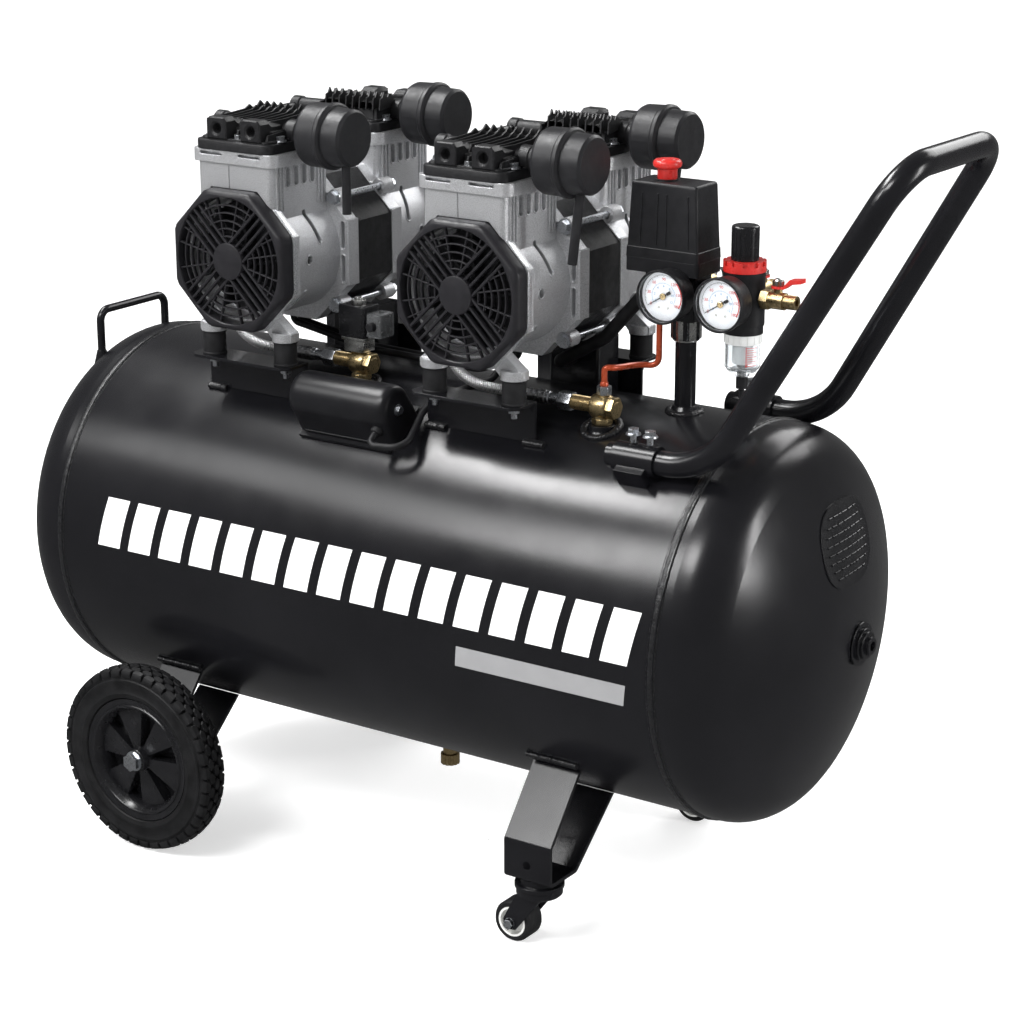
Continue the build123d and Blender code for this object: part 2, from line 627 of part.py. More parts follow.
DRUM_R = 62.0
CAVITY_R = 50.0
COVER_BACK = 127.0      # joint between fan cover and casting
WELL_BACK = 104.0       # floor of the fan's well
EAR_FRONT = 44.0        # flange towards the motor
EAR_BACK = STATOR_L / 2
BLOCK_TOP = 94.0
COLLAR_TOP = HEAD_Z - MOTOR_Z
with BuildPart() as casting:
    with BuildSketch(Plane.XZ.offset(COVER_BACK)):
        octagon(OCT + 2)
    extrude(amount=-9)
    with BuildSketch(Plane.XZ.offset(COVER_BACK)):
        Circle(DRUM_R)
    extrude(amount=-(COVER_BACK - EAR_BACK))
    # flange with side ears and ears for the tie bolts
    with BuildSketch(Plane.XZ.offset(EAR_FRONT)):
        Rectangle(146, 66)
        octagon(STATOR + 2)
        with GridLocations(2 * TIE[0], 2 * TIE[1], 2, 2):
            Circle(8)
        with GridLocations(2 * 40, 2 * 45, 2, 2):
            Rectangle(30, 26)
    extrude(amount=-(EAR_FRONT - EAR_BACK))
    # cylinder block and its collar
    with BuildSketch(Plane.XY.offset(35)):
        with Locations((0, -CYL_Y)):
            RectangleRounded(92, 90, 6)
    extrude(amount=BLOCK_TOP - 35)
    with BuildSketch(Plane.XY.offset(BLOCK_TOP)):
        with Locations((0, -CYL_Y)):
            RectangleRounded(104, 96, 10)
    extrude(amount=COLLAR_TOP - BLOCK_TOP)
    # ribs beside the cooling slots
    for y in (-122, -117, -112, -58, -53, -48):
        with BuildSketch(Plane.XY.offset(50)):
            with Locations((0, y)):
                Rectangle(96, 2)
        extrude(amount=BLOCK_TOP - 50)
    # lugs that stand on the rubber feet
    with BuildSketch(Plane.XY.offset(FLANGE_Z + FOOT_H - MOTOR_Z)):
        with Locations((-FOOT_X, -FOOT_Y), (FOOT_X, -FOOT_Y)):
            Circle(13)
    extrude(amount=9)
    for side in (-1, 1):
        with BuildSketch(Plane.XZ.offset(FOOT_Y + 6.5)):
            with BuildLine():
                Polyline(
                    (side * 34, -52),
                    (side * 58, -71),
                    (side * 58, -79),
                    (side * 36, -79),
                    (side * 16, -58),
                    (side * 34, -52),
                )
            make_face()
        extrude(amount=-13)
    # seat of the fan cover, cut back from the block
    with BuildSketch(Plane.XZ.offset(COVER_BACK)):
        octagon(OCT + 1)
    extrude(amount=8, mode=Mode.SUBTRACT)
    # hollow inside: fan well, crank chamber, cylinder bore, shaft bearings
    with BuildSketch(Plane.XZ.offset(COVER_BACK)):
        Circle(DRUM_R - 2)
    extrude(amount=-(COVER_BACK - WELL_BACK), mode=Mode.SUBTRACT)
    with BuildSketch(Plane.XZ.offset(WELL_BACK - 5)):
        Circle(CAVITY_R)
    extrude(amount=-(WELL_BACK - 5 - EAR_FRONT - 4), mode=Mode.SUBTRACT)
    with BuildSketch(Plane.XY.offset(0)):
        with Locations((0, -CYL_Y)):
            Circle(CYL_R)
    extrude(amount=COLLAR_TOP, mode=Mode.SUBTRACT)
    with BuildSketch(Plane.XZ.offset(EAR_FRONT)):
        Circle(34.5)
    extrude(amount=-(EAR_FRONT - EAR_BACK), mode=Mode.SUBTRACT)
    with BuildSketch(Plane.XZ.offset(WELL_BACK)):
        Circle(SHAFT_R + RUN)
    extrude(amount=-(WELL_BACK - EAR_BACK), mode=Mode.SUBTRACT)
    # cooling slots in the block's sides, under the head, in the ears and round the drum
    for side in (-1, 1):
        with BuildSketch(Plane.YZ.offset(side * 49)):
            with Locations((-CYL_Y, 82)):
                with GridLocations(12.5, 1, 4, 1):
                    SlotOverall(19, 6.6, rotation=90)
        extrude(amount=-side * 9, mode=Mode.SUBTRACT)
        with BuildSketch(Plane.XZ.offset(EAR_FRONT)):
            with Locations((side * 66, -17), (side * 66, 17)):
                SlotOverall(28, 4, rotation=90)
        extrude(amount=-8, mode=Mode.SUBTRACT)
        with BuildSketch(Plane.YZ.offset(side * 64)):
            with Locations((-93, 0)):
                Circle(4)
            with Locations((-77, 30)):
                SlotOverall(34, 5, rotation=104)
            with Locations((-93, -42)):
                SlotOverall(20, 4.5, rotation=60)
        extrude(amount=-side * 34, mode=Mode.SUBTRACT)
    with BuildSketch(Plane.XZ.offset(CYL_Y + 49)):
        with Locations((-26, COLLAR_TOP - 3.5), (22, COLLAR_TOP - 3.5)):
            SlotOverall(28, 3)
    extrude(amount=-8, mode=Mode.SUBTRACT)
    # screw holes
    with BuildSketch(Plane.XZ.offset(EAR_FRONT)):
        with GridLocations(2 * TIE[0], 2 * TIE[1], 2, 2):
            Circle(3.7)
    extrude(amount=-(EAR_FRONT - EAR_BACK), mode=Mode.SUBTRACT)
    with BuildSketch(Plane.XY.offset(COLLAR_TOP)):
        with Locations(*HEAD_BOLTS):
            Circle(3.1)
    extrude(amount=-10, mode=Mode.SUBTRACT)
    with BuildSketch(Plane.XY.offset(FLANGE_Z + FOOT_H - MOTOR_Z)):
        with Locations((-FOOT_X, -FOOT_Y), (FOOT_X, -FOOT_Y)):
            Circle(3.3)
    extrude(amount=6, mode=Mode.SUBTRACT)
with BuildPart() as crankcases:
    at_pumps(both_sides(casting.part))
save(crankcases.part, "crankcases")

# Cylinder head: plate, finned block, two ports that face -Y, and a boss for the air filter.
with BuildPart() as head:
    with BuildSketch(Plane.XY.offset(COLLAR_TOP)):
        with Locations((0, -CYL_Y)):
            RectangleRounded(94, 98, 8)
    extrude(amount=HEAD_PLATE)
    with BuildSketch(Plane.YZ.offset(-34)):
        with BuildLine():
            Polyline((-132, 112), (-132, 139), (-40, 146), (-40, 112), (-132, 112))
        make_face()
    extrude(amount=76)
    with BuildSketch(Plane.XY.offset(COLLAR_TOP + HEAD_PLATE)):
        with Locations((37, -126)):
            Rectangle(16, 22)
        with Locations((2, -124)):
            Rectangle(14, 18)
        with Locations(*HEAD_BOLTS):
            Circle(8.4)
    extrude(amount=40, mode=Mode.SUBTRACT)
    with BuildSketch(Plane.XZ.offset(132)):
        with Locations((-19, 126), (23, 126)):
            Circle(5.5)
    extrude(amount=-16, mode=Mode.SUBTRACT)
    with BuildSketch(Plane.XY.offset(131)):
        with Locations((4, -76)):
            with GridLocations(10.5, 1, 7, 1):
                Rectangle(6, 78, rotation=-9)
    extrude(amount=30, mode=Mode.SUBTRACT)
    with BuildSketch(Plane.YZ.offset(40)):
        with Locations((-CYL_Y, FILTER_Z - MOTOR_Z)):
            Circle(12)
    extrude(amount=FILTER_X - 40)
    with BuildSketch(Plane.YZ.offset(-30)):
        with Locations((-OUTLET_Y, OUTLET_Z)):
            Circle(7)
    extrude(amount=-(-OUTLET_X - 30 - 10))
    with BuildSketch(Plane.XY.offset(COLLAR_TOP)):
        with Locations((0, -CYL_Y)):
            Circle(26)
    extrude(amount=5, mode=Mode.SUBTRACT)
    with BuildSketch(Plane.XY.offset(COLLAR_TOP)):
        with Locations(*HEAD_BOLTS):
            Circle(3.3)
    extrude(amount=HEAD_PLATE, mode=Mode.SUBTRACT)
with BuildPart() as cylinder_heads:
    at_pumps(both_sides(head.part))
save(cylinder_heads.part, "cylinder_heads")

# Motor stack between the castings, with the rotor's tunnel through it.
with BuildPart() as stator:
    with BuildSketch(Plane.XZ.offset(STATOR_L / 2)):
        octagon(STATOR)
        Circle(ROTOR_R + 0.6, mode=Mode.SUBTRACT)
    extrude(amount=-STATOR_L)
with BuildPart() as motor_stators:
    at_pumps(stator.part)
save(motor_stators.part, "motor_stators")

# Fan cover: eight-sided frame, bevelled at the front, with a grille of rings and spokes.
with BuildPart() as cover:
    with BuildSketch(Plane.XZ.offset(COVER_BACK)):
        octagon(OCT)
    extrude(amount=COVER_D)
    chamfer(cover.faces().sort_by(Axis.Y)[0].edges(), 5)
    with BuildSketch(Plane.XZ.offset(COVER_BACK)):
        Circle(63)
    extrude(amount=COVER_D, mode=Mode.SUBTRACT)
    with BuildSketch(Plane.XZ.offset(COVER_BACK + COVER_D - 5)):
        Circle(17.6)
        for ring in (28, 38, 48, 57):
            with BuildSketch(mode=Mode.PRIVATE) as hoop:
                Circle(ring + 1)
                Circle(ring - 1, mode=Mode.SUBTRACT)
            add(hoop.sketch)
        with Locations((0, 0)):
            Rectangle(127, 2.4)
            Rectangle(127, 2.4, rotation=90)
            for slant in (-45, 45):
                with Locations(Location((0, 0, 0), slant)):
                    with GridLocations(1, 9, 1, 4):
                        Rectangle(124, 2.2)
    extrude(amount=4)
    with BuildSketch(Plane.XZ.offset(COVER_BACK + COVER_D - 6)):
        Circle(17.6)
    extrude(amount=6.5)
with BuildPart() as fan_covers:
    at_pumps(both_sides(cover.part))
save(fan_covers.part, "fan_covers")

# Air filter drum with its bent-down intake spout.
with BuildPart() as filter_drum:
    with BuildSketch(Plane.XY):
        with BuildLine():
            Polyline(
                (0, 0),
                (0, 12),
                (11, 12),
                (11, 24),
                (13, 29.5),
                (16, 31),
                (36, 31.5),
                (37.5, 32.5),
                (41, 32.5),
                (43, 30.5),
                (43.6, 28.2),
                (62, 27.5),
                (65, 25),
                (65, 0),
                (0, 0),
            )
        make_face()
    revolve(axis=Axis.X)
DRUM = filter_drum.part.moved(Location((FILTER_X, -CYL_Y, FILTER_Z - MOTOR_Z)))
SPOUTS = (((54, -86, 706), (54, -86, 664)), ((50, -86, 707), (41, -86, 645)))
with BuildPart() as air_filters:
    for px, (top, tip) in zip(PUMP_X, SPOUTS):
        start = Vector(px + FILTER_X + top[0], top[1], top[2] + 10)
        along = Vector(px + FILTER_X + tip[0], tip[1], tip[2]) - start
        spout = Solid.make_cylinder(4.5, along.length, Plane(start, z_dir=along))
        drum_here = DRUM.moved(Location((px, 0, MOTOR_Z)))
        whole = drum_here.fuse(spout)
        add(whole)
        add(whole.mirror(Plane.XZ))
save(air_filters.part, "air_filters")

# Rubber feet between the lugs and the angle brackets.
with BuildPart() as foot:
    with BuildSketch(Plane.XZ):
        with BuildLine():
            Polyline(
                (3.6, 0),
                (12.2, 0),
                (12.2, 1.5),
                (11.5, 2.2),
                (11.5, FOOT_H - 2.2),
                (12.2, FOOT_H - 1.5),
                (12.2, FOOT_H),
                (3.6, FOOT_H),
                (3.6, 0),
            )
        make_face()
    revolve(axis=Axis.Z)
FOOT_SPOTS = [
    (px + sx * FOOT_X, sy * FOOT_Y) for px in PUMP_X for sx in (-1, 1) for sy in (-1, 1)
]
with BuildPart() as rubber_feet:
    with Locations(*[(x, y, FLANGE_Z) for x, y in FOOT_SPOTS]):
        add(foot.part)
save(rubber_feet.part, "rubber_feet")

# Head bolts, the long tie bolts past the motor, and the studs and nuts of the rubber feet.
head_bolt = flange_bolt(0, 0, COLLAR_TOP + HEAD_PLATE, 2.8, 16)
with BuildPart() as front_bolts:
    for x, y in HEAD_BOLTS:
        add(head_bolt.moved(Location((x, y, 0))))
with BuildPart() as tie_bolt:
    add(flange_bolt(0, -EAR_FRONT, 0, 3.3, 2 * EAR_FRONT + 10, (0, 1, 0)))
    with BuildSketch(Plane.XZ.offset(-EAR_FRONT)):
        RegularPolygon(5.5, 6, major_radius=False)
    extrude(amount=-6)
with BuildPart() as foot_stud:
    with BuildSketch(Plane.XY.offset(-14)):
        Circle(3)
    extrude(amount=14 + FOOT_H + 5)
    with BuildSketch(Plane.XY.offset(-ANGLE_T - 5.5)):
        RegularPolygon(5, 6, major_radius=False)
    extrude(amount=5.3)
with BuildPart() as pump_bolts:
    at_pumps(both_sides(front_bolts.part))
    for px in PUMP_X:
        for sx in (-1, 1):
            for sz in (-1, 1):
                add(tie_bolt.part.moved(Location((px + sx * TIE[0], 0, MOTOR_Z + sz * TIE[1]))))
    with Locations(*[(x, y, FLANGE_Z) for x, y in FOOT_SPOTS]):
        add(foot_stud.part)
save(pump_bolts.part, "pump_bolts")

# Inside each pump: rotor shaft with two eccentrics, two fans, two pistons.
with BuildPart() as shaft:
    with BuildSketch(Plane.XZ.offset(COVER_BACK + 5)):
        Circle(SHAFT_R)
    extrude(amount=-2 * (COVER_BACK + 5))
    with BuildSketch(Plane.XZ.offset(24)):
        Circle(ROTOR_R)
    extrude(amount=-48)
    for y in (CYL_Y + 9, -CYL_Y + 9):
        with BuildSketch(Plane.XZ.offset(y)):
            with Locations((STROKE / 2, 0)):
                Circle(14)
        extrude(amount=-18)
with BuildPart() as fan:
    with BuildSketch(Plane.XZ.offset(WELL_BACK + 1.5)):
        Circle(56)
        Circle(SHAFT_R + GAP, mode=Mode.SUBTRACT)
    extrude(amount=2.5)
    with BuildSketch(Plane.XZ.offset(WELL_BACK + 1.5)):
        Circle(15)
        Circle(SHAFT_R + GAP, mode=Mode.SUBTRACT)
    extrude(amount=20)
    with BuildSketch(Plane.XZ.offset(WELL_BACK + 1.5)):
        with PolarLocations(35, 9):
            Rectangle(40, 2.2, rotation=14)
    extrude(amount=18)
with BuildPart() as piston:
    with BuildSketch(Plane.XY.offset(PISTON_TOP)):
        with Locations((0, -CYL_Y)):
            Circle(CYL_R - 0.3)
    extrude(amount=-12)
    with BuildSketch(Plane.XY.offset(PISTON_TOP - 6)):
        with Locations((0, -CYL_Y)):
            Rectangle(16, 12)
    extrude(amount=-(PISTON_TOP - 6 - 32))
    with BuildSketch(Plane.XZ.offset(CYL_Y + 7)):
        Circle(36)
        Circle(30.6, mode=Mode.SUBTRACT)
    extrude(amount=-14)
for number, px in enumerate(PUMP_X, 1):
    for name, piece in (
        ("shaft", shaft.part),
        ("fans", both_sides(fan.part)),
        ("pistons", both_sides(piston.part)),
    ):
        with BuildPart() as inner:
            with Locations((px, 0, MOTOR_Z)):
                add(piece)
        save(inner.part, "pump_%d_%s" % (number, name))


# =========================== air controls ===========================
# Manifold block on the stand pipe, drilled through for the two gauges and the regulator.
with BuildPart() as manifold_block:
    with BuildSketch(Plane.XY.offset(588)):
        with Locations((PIPE_X, 0)):
            RectangleRounded(34, 36, 4)
    extrude(amount=SWITCH_Z[0] - 588)
    with BuildSketch(Plane.XZ.offset(18)):
        with Locations((PIPE_X, MANIFOLD_Z)):
            Circle(7)
    extrude(amount=GAUGE_BACK - 18 - GAP)
    with BuildSketch(Plane.YZ.offset(PIPE_X + 17)):
        with Locations((0, MANIFOLD_Z)):
            RegularPolygon(9.5, 6, major_radius=False)
    extrude(amount=REG_X - REG_R - PIPE_X - 17 - GAP)
    with BuildSketch(Plane.XZ.offset(-18)):
        with Locations((PIPE_X, MANIFOLD_Z)):
            Circle(7)
    extrude(amount=-4)
save(manifold_block.part, "manifold_block")

with BuildPart() as switch_base:
    with BuildSketch(Plane.XY.offset(SWITCH_Z[0])):
        with Locations((SWITCH_X, SWITCH_Y)):
            RectangleRounded(78, 45, 4)
    extrude(amount=SWITCH_Z[1] - SWITCH_Z[0])
    with BuildSketch(Plane.XY.offset(SWITCH_Z[1])):
        with Locations((SWITCH_X, SWITCH_Y)):
            Rectangle(40, 24)
    extrude(amount=30)
save(switch_base.part, "switch_base")

with BuildPart() as switch_cover:
    with BuildSketch(Plane.XY.offset(SWITCH_Z[1])):
        with Locations((SWITCH_X, SWITCH_Y)):
            RectangleRounded(78, 45, 6)
    with BuildSketch(Plane.XY.offset(SWITCH_Z[2])):
        with Locations((SWITCH_X, SWITCH_Y)):
            RectangleRounded(71, 41, 6)
    loft()
    fillet(switch_cover.faces().sort_by(Axis.Z)[-1].edges(), 2.5)
    with BuildSketch(Plane.XY.offset(SWITCH_Z[1])):
        with Locations((SWITCH_X, SWITCH_Y)):
            RectangleRounded(73, 40, 4)
    with BuildSketch(Plane.XY.offset(SWITCH_Z[2] - 3)):
        with Locations((SWITCH_X, SWITCH_Y)):
            RectangleRounded(66, 36, 4)
    loft(mode=Mode.SUBTRACT)
    with BuildSketch(Plane.XY.offset(SWITCH_Z[2])):
        with Locations((KNOB_X, SWITCH_Y)):
            Circle(KNOB_STEM + 2)
    extrude(amount=2)
    with BuildSketch(Plane.XY.offset(SWITCH_Z[2] + 2)):
        with Locations((KNOB_X, SWITCH_Y)):
            Circle(KNOB_STEM + GAP)
    extrude(amount=-6, mode=Mode.SUBTRACT)
save(switch_cover.part, "switch_cover")

with BuildPart() as switch_knob:
    with BuildSketch(Plane.XY.offset(690)):
        with Locations((KNOB_X, SWITCH_Y)):
            Circle(KNOB_STEM)
    extrude(amount=38)
    with BuildSketch(Plane.XY.offset(728)):
        with Locations((KNOB_X, SWITCH_Y)):
            Circle(13.5)
    extrude(amount=8)
    fillet(switch_knob.edges().group_by(Axis.Z)[-1], 4)
save(switch_knob.part, "switch_knob")

# Pressure gauges: cups that face -Y, a pin in the middle, and a needle that turns on it.
with BuildPart() as gauge:
    with BuildSketch(Plane.XZ.offset(GAUGE_BACK)):
        Circle(GAUGE_R - 1.5)
    extrude(amount=-GAUGE_Y - GAUGE_BACK - 6)
    with BuildSketch(Plane.XZ.offset(-GAUGE_Y - 6)):
        Circle(GAUGE_R)
    extrude(amount=6)
    chamfer(gauge.faces().sort_by(Axis.Y)[0].edges(), 1.2)
    with BuildSketch(Plane.XZ.offset(-GAUGE_Y)):
        Circle(GAUGE_R - 2.5)
    extrude(amount=-8, mode=Mode.SUBTRACT)
    with BuildSketch(Plane.XZ.offset(-GAUGE_Y - 8)):
        Circle(1.5)
    extrude(amount=5.5)
with BuildPart() as gauge_cases:
    with Locations((PIPE_X, 0, MANIFOLD_Z), (REG_X, 0, MANIFOLD_Z)):
        add(gauge.part)
save(gauge_cases.part, "gauge_cases")
with BuildPart() as needle:
    with BuildSketch(Plane.XZ.offset(-GAUGE_Y - 7)):
        with Locations(Location((0, 0, 0), NEEDLE_REST)):
            Circle(3.2)
            Polygon((-9, -1.4), (19, -0.5), (19, 0.5), (-9, 1.4), align=None)
            Circle(1.5 + RUN, mode=Mode.SUBTRACT)
    extrude(amount=1)
for number, gx in enumerate((PIPE_X, REG_X), 1):
    with BuildPart() as needle_placed:
        with Locations((gx, 0, MANIFOLD_Z)):
            add(needle.part)
    save(needle_placed.part, "gauge_needle_%d" % number)

# Regulator with its lock ring, turning knob, filter bowl and drain.
with BuildPart() as regulator_body:
    with BuildSketch(Plane.XY.offset(BOWL_TOP)):
        with Locations((REG_X, 0)):
            Circle(18.5)
    extrude(amount=8)
    with BuildSketch(Plane.XY.offset(BOWL_TOP + 8)):
        with Locations((REG_X, 0)):
            Circle(REG_R)
    extrude(amount=640 - BOWL_TOP - 8)
    with BuildSketch(Plane.XY.offset(640)):
        with Locations((REG_X, 0)):
            Circle(8)
    extrude(amount=32)
    with BuildSketch(Plane.XZ.offset(REG_R - 3)):
        with Locations((REG_X, MANIFOLD_Z)):
            Circle(7)
    extrude(amount=GAUGE_BACK - REG_R + 3 - GAP)
save(regulator_body.part, "regulator_body")

with BuildPart() as regulator_ring:
    with BuildSketch(Plane.XY.offset(640)):
        with Locations((REG_X, 0)):
            Circle(20)
            Circle(8 + GAP, mode=Mode.SUBTRACT)
    extrude(amount=10)
    with BuildSketch(Plane.XY.offset(650)):
        with Locations((REG_X, 0)):
            with PolarLocations(20, 12):
                Rectangle(4, 4)
    extrude(amount=-4, mode=Mode.SUBTRACT)
save(regulator_ring.part, "regulator_ring")

with BuildPart() as regulator_knob:
    with BuildSketch(Plane.XY.offset(650 + GAP)):
        with Locations((REG_X, 0)):
            Circle(12.9)
    extrude(amount=32)
    fillet(regulator_knob.edges().group_by(Axis.Z)[-1], 2.5)
    with BuildSketch(Plane.XY.offset(650 + GAP)):
        with Locations((REG_X, 0)):
            with PolarLocations(13.2, 18):
                Circle(0.9)
    extrude(amount=26, mode=Mode.SUBTRACT)
    with BuildSketch(Plane.XY.offset(650 + GAP)):
        with Locations((REG_X, 0)):
            Circle(8 + RUN)
    extrude(amount=23, mode=Mode.SUBTRACT)
save(regulator_knob.part, "regulator_knob")

with BuildPart() as bowl_section:
    with BuildSketch(Plane.XZ):
        with BuildLine():
            Polyline(
                (3.5 + RUN, 541),
                (7, 541),
                (7, 544),
                (13, 545.5),
                (16.5, 550),
                (16.5, BOWL_TOP),
                (14, BOWL_TOP),
                (14, 551),
                (11, 548),
                (3.5 + RUN, 548),
                (3.5 + RUN, 541),
            )
        make_face()
    revolve(axis=Axis.Z)
with BuildPart() as filter_bowl:
    with Locations((REG_X, 0, 0)):
        add(bowl_section.part)
save(filter_bowl.part, "filter_bowl")

with BuildPart() as drain_section:
    with BuildSketch(Plane.XZ):
        with BuildLine():
            Polyline(
                (0, 519),
                (2.5, 519),
                (2.5, 528),
                (5.5, 529),
                (5.5, 540.7),
                (3.5, 540.7),
                (3.5, 549),
                (5, 549),
                (5, 551),
                (0, 551),
                (0, 519),
            )
        make_face()
    revolve(axis=Axis.Z)
with BuildPart() as bowl_drain:
    with Locations((REG_X, 0, 0)):
        add(drain_section.part)
save(bowl_drain.part, "bowl_drain")


def outlet_valve():
    """Ball valve along +X, starting at x = 0, with its stem and cap nut standing up."""
    with BuildPart(mode=Mode.PRIVATE) as valve:
        with BuildSketch(Plane.YZ):
            RegularPolygon(8.5, 6, major_radius=False)
        extrude(amount=8)
        with BuildSketch(Plane.YZ.offset(8)):
            Circle(8)
        extrude(amount=15)
        with BuildSketch(Plane.YZ.offset(23)):
            Circle(OUTLET_R)
        extrude(amount=12)
        with BuildSketch(Plane.XY):
            with Locations((15.5, 0)):
                Circle(4)
        extrude(amount=11.5)
        with BuildSketch(Plane.XY):
            with Locations((15.5, 0)):
                Circle(2.5)
        extrude(amount=15)
        with BuildSketch(Plane.XY.offset(14.2)):
            with Locations((15.5, 0)):
                RegularPolygon(4.6, 6, major_radius=False)
        extrude(amount=4.5)
        with BuildSketch(Plane.YZ.offset(35)):
            Circle(3.5)
        extrude(amount=-12, mode=Mode.SUBTRACT)
    return valve.part


def valve_lever():
    """Lever of the ball valve; it turns on the stem and points along the pipe when open."""
    with BuildPart(mode=Mode.PRIVATE) as lever:
        with BuildSketch(Plane.XY.offset(11.8)):
            with Locations((15.5, 0)):
                Circle(6.5)
        extrude(amount=2.1)
        with BuildSketch(Plane.XZ.offset(4.5)):
            with BuildLine():
                Polyline(
                    (19, 11.8),
                    (23, 11.8),
                    (30, 17),
                    (41, 19),
                    (41, 23),
                    (29, 21.5),
                    (22, 13.9),
                    (19, 13.9),
                    (19, 11.8),
                )
            make_face()
        extrude(amount=-9)
        with BuildSketch(Plane.XY.offset(11.8)):
            with Locations((15.5, 0)):
                Circle(2.5 + RUN)
        extrude(amount=2.1, mode=Mode.SUBTRACT)
    return lever.part


VALVE_PLACES = (
    Location((REG_X + REG_R + GAP, 0, MANIFOLD_Z)),
    Location((REG_X, REG_R + GAP, MANIFOLD_Z), (0, 0, 90)),
)
with BuildPart() as outlet_valves:
    for place in VALVE_PLACES:
        add(outlet_valve().moved(place))
save(outlet_valves.part, "outlet_valves")
# The first lever stands along its pipe, open; the second across it, closed.
LEVER_PLACES = (
    VALVE_PLACES[0],
    Location((REG_X + 15.5, REG_R + GAP + 15.5, MANIFOLD_Z), (0, 0, 180)),
)
for number, place in enumerate(LEVER_PLACES, 1):
    with BuildPart() as lever_placed:
        add(valve_lever().moved(place))
    save(lever_placed.part, "valve_lever_%d" % number)

# Safety valve behind the manifold, with its pull ring.
with BuildPart() as safety_valve:
    with BuildSketch(Plane.XZ.offset(-22 - GAP)):
        with Locations((PIPE_X, MANIFOLD_Z)):
            RegularPolygon(7.5, 6, major_radius=False)
    extrude(amount=-8)
    with BuildSketch(Plane.XZ.offset(-30)):
        with Locations((PIPE_X, MANIFOLD_Z)):
            Circle(6.5)
    extrude(amount=-16)
    with BuildSketch(Plane.XZ.offset(-46)):
        with Locations((PIPE_X, MANIFOLD_Z)):
            Circle(2)
    extrude(amount=12, mode=Mode.SUBTRACT)
save(safety_valve.part, "safety_valve")
with BuildPart() as safety_ring:
    with BuildSketch(Plane.XZ.offset(-38)):
        with Locations((PIPE_X, MANIFOLD_Z)):
            Circle(2 - RUN)
    extrude(amount=-14)
    with BuildSketch(Plane.YZ.offset(PIPE_X - 1.2)):
        with Locations((60, MANIFOLD_Z)):
            Circle(10)
            Circle(7.6, mode=Mode.SUBTRACT)
    extrude(amount=2.4)
save(safety_ring.part, "safety_ring")

# Check valves where the pumps' air enters the tank.
UNLOADER_X = 2.0
HOSE_END = ((-60.0, -44.0), (-62.0, -46.0))
with BuildPart() as check_valves:
    for (x, y, z), (tail, nut) in zip(CHECK, HOSE_END):
        add(hex_bar(x, y, z - 17 + GAP, 17, 5, (0, 0, 1)))
        add(round_bar(x, y, z - 13, 8.5, 13, (0, 0, 1)))
        add(round_bar(x - 10, y, z, 11.5, 19, (1, 0, 0)))
        add(hex_bar(x + 9, y, z, 19, 7, (1, 0, 0)))
        add(round_bar(x + nut + 14, y, z, 7, 6 - nut - 14, (1, 0, 0)))
        add(hex_bar(x + nut, y, z, 16, 14, (1, 0, 0)))
        add(round_bar(x + tail, y, z, 6.2, nut - tail, (1, 0, 0)))
    x, y, z = CHECK[1]
    add(hex_bar(x + UNLOADER_X, y, z + 6, 12, 14, (0, 0, 1)))
save(check_valves.part, "check_valves")

# Braided hoses from the front heads down to the check valves.
hoses = []
for px, (x, y, z), (tail, nut) in zip(PUMP_X, CHECK, HOSE_END):
    points = [
        (px + OUTLET_X, -OUTLET_Y, MOTOR_Z + OUTLET_Z - 7 - GAP),
        (px + OUTLET_X, -OUTLET_Y, z),
        (x + tail - GAP, y, z),
    ]
    points[1] = (px + OUTLET_X, y, z)
    points[0] = (px + OUTLET_X, y, MOTOR_Z + OUTLET_Z - 7 - GAP)
    radii = bend_radii(points, 55)
    print("hose", [round(r, 1) for r in radii])
    hoses.append(route(points, radii, 5.5))
with BuildPart() as braided_hoses:
    for hose in hoses:
        add(hose)
save(braided_hoses.part, "braided_hoses")

# Copper tubes: unloader line up to the switch, and one link pipe between each pump's heads.
x, y, z = CHECK[1]
unloader = [
    (x + UNLOADER_X, y, z + 20 + GAP),
    (x + UNLOADER_X, y, z + 38),
    (TANK_X + 253, -12, z + 33),
    (TANK_X + 253, -12, SWITCH_Z[0] - GAP),
]
unloader_radii = bend_radii(unloader, 30)
print("unloader", [round(r, 1) for r in unloader_radii])
with BuildPart() as air_tubes:
    add(route(unloader, unloader_radii, 3))
    for px in PUMP_X:
        reach = OUTLET_Y - 7 - GAP
        add(round_bar(px + OUTLET_X, -reach, MOTOR_Z + OUTLET_Z, 4, 2 * reach, (0, 1, 0)))
save(air_tubes.part, "air_tubes")

# Solenoid on the first check valve: block, coil and plug.
x, y, z = CHECK[0]
with BuildPart() as solenoid_valve:
    with BuildSketch(Plane.XY.offset(z + 11.5 + GAP)):
        with Locations((x - 2, y)):
            RectangleRounded(24, 20, 2)
    extrude(amount=15)
    with BuildSketch(Plane.XY.offset(z + 26.8)):
        with Locations((x - 2, y)):
            RectangleRounded(33, 27, 3)
    extrude(amount=32)
    with BuildSketch(Plane.YZ.offset(x + 14.5)):
        with Locations((y, z + 41)):
            RectangleRounded(24, 25, 3)
    extrude(amount=19)
save(solenoid_valve.part, "solenoid_valve")

# Capacitor cover standing squarely off the front of the tank, and two boxes behind.
def radial_box(width, inner, outer, start, end, corner):
    """Prism along X that stands off the tank at CAP_TURN from upright."""
    height = outer - inner
    plane = Plane((start, 0, TANK_Z), x_dir=(0, cos(CAP_TURN), sin(CAP_TURN)), z_dir=(1, 0, 0))
    with BuildPart(mode=Mode.PRIVATE) as box:
        with BuildSketch(plane):
            with Locations((0, inner + height / 2)):
                Rectangle(width, height)
        extrude(amount=end - start)
        top = Vector(0, -sin(CAP_TURN), cos(CAP_TURN))
        edges = box.edges().filter_by(Axis.X).sort_by(lambda e: e.center().dot(top))
        fillet(edges[-2:], corner)
    return box.part


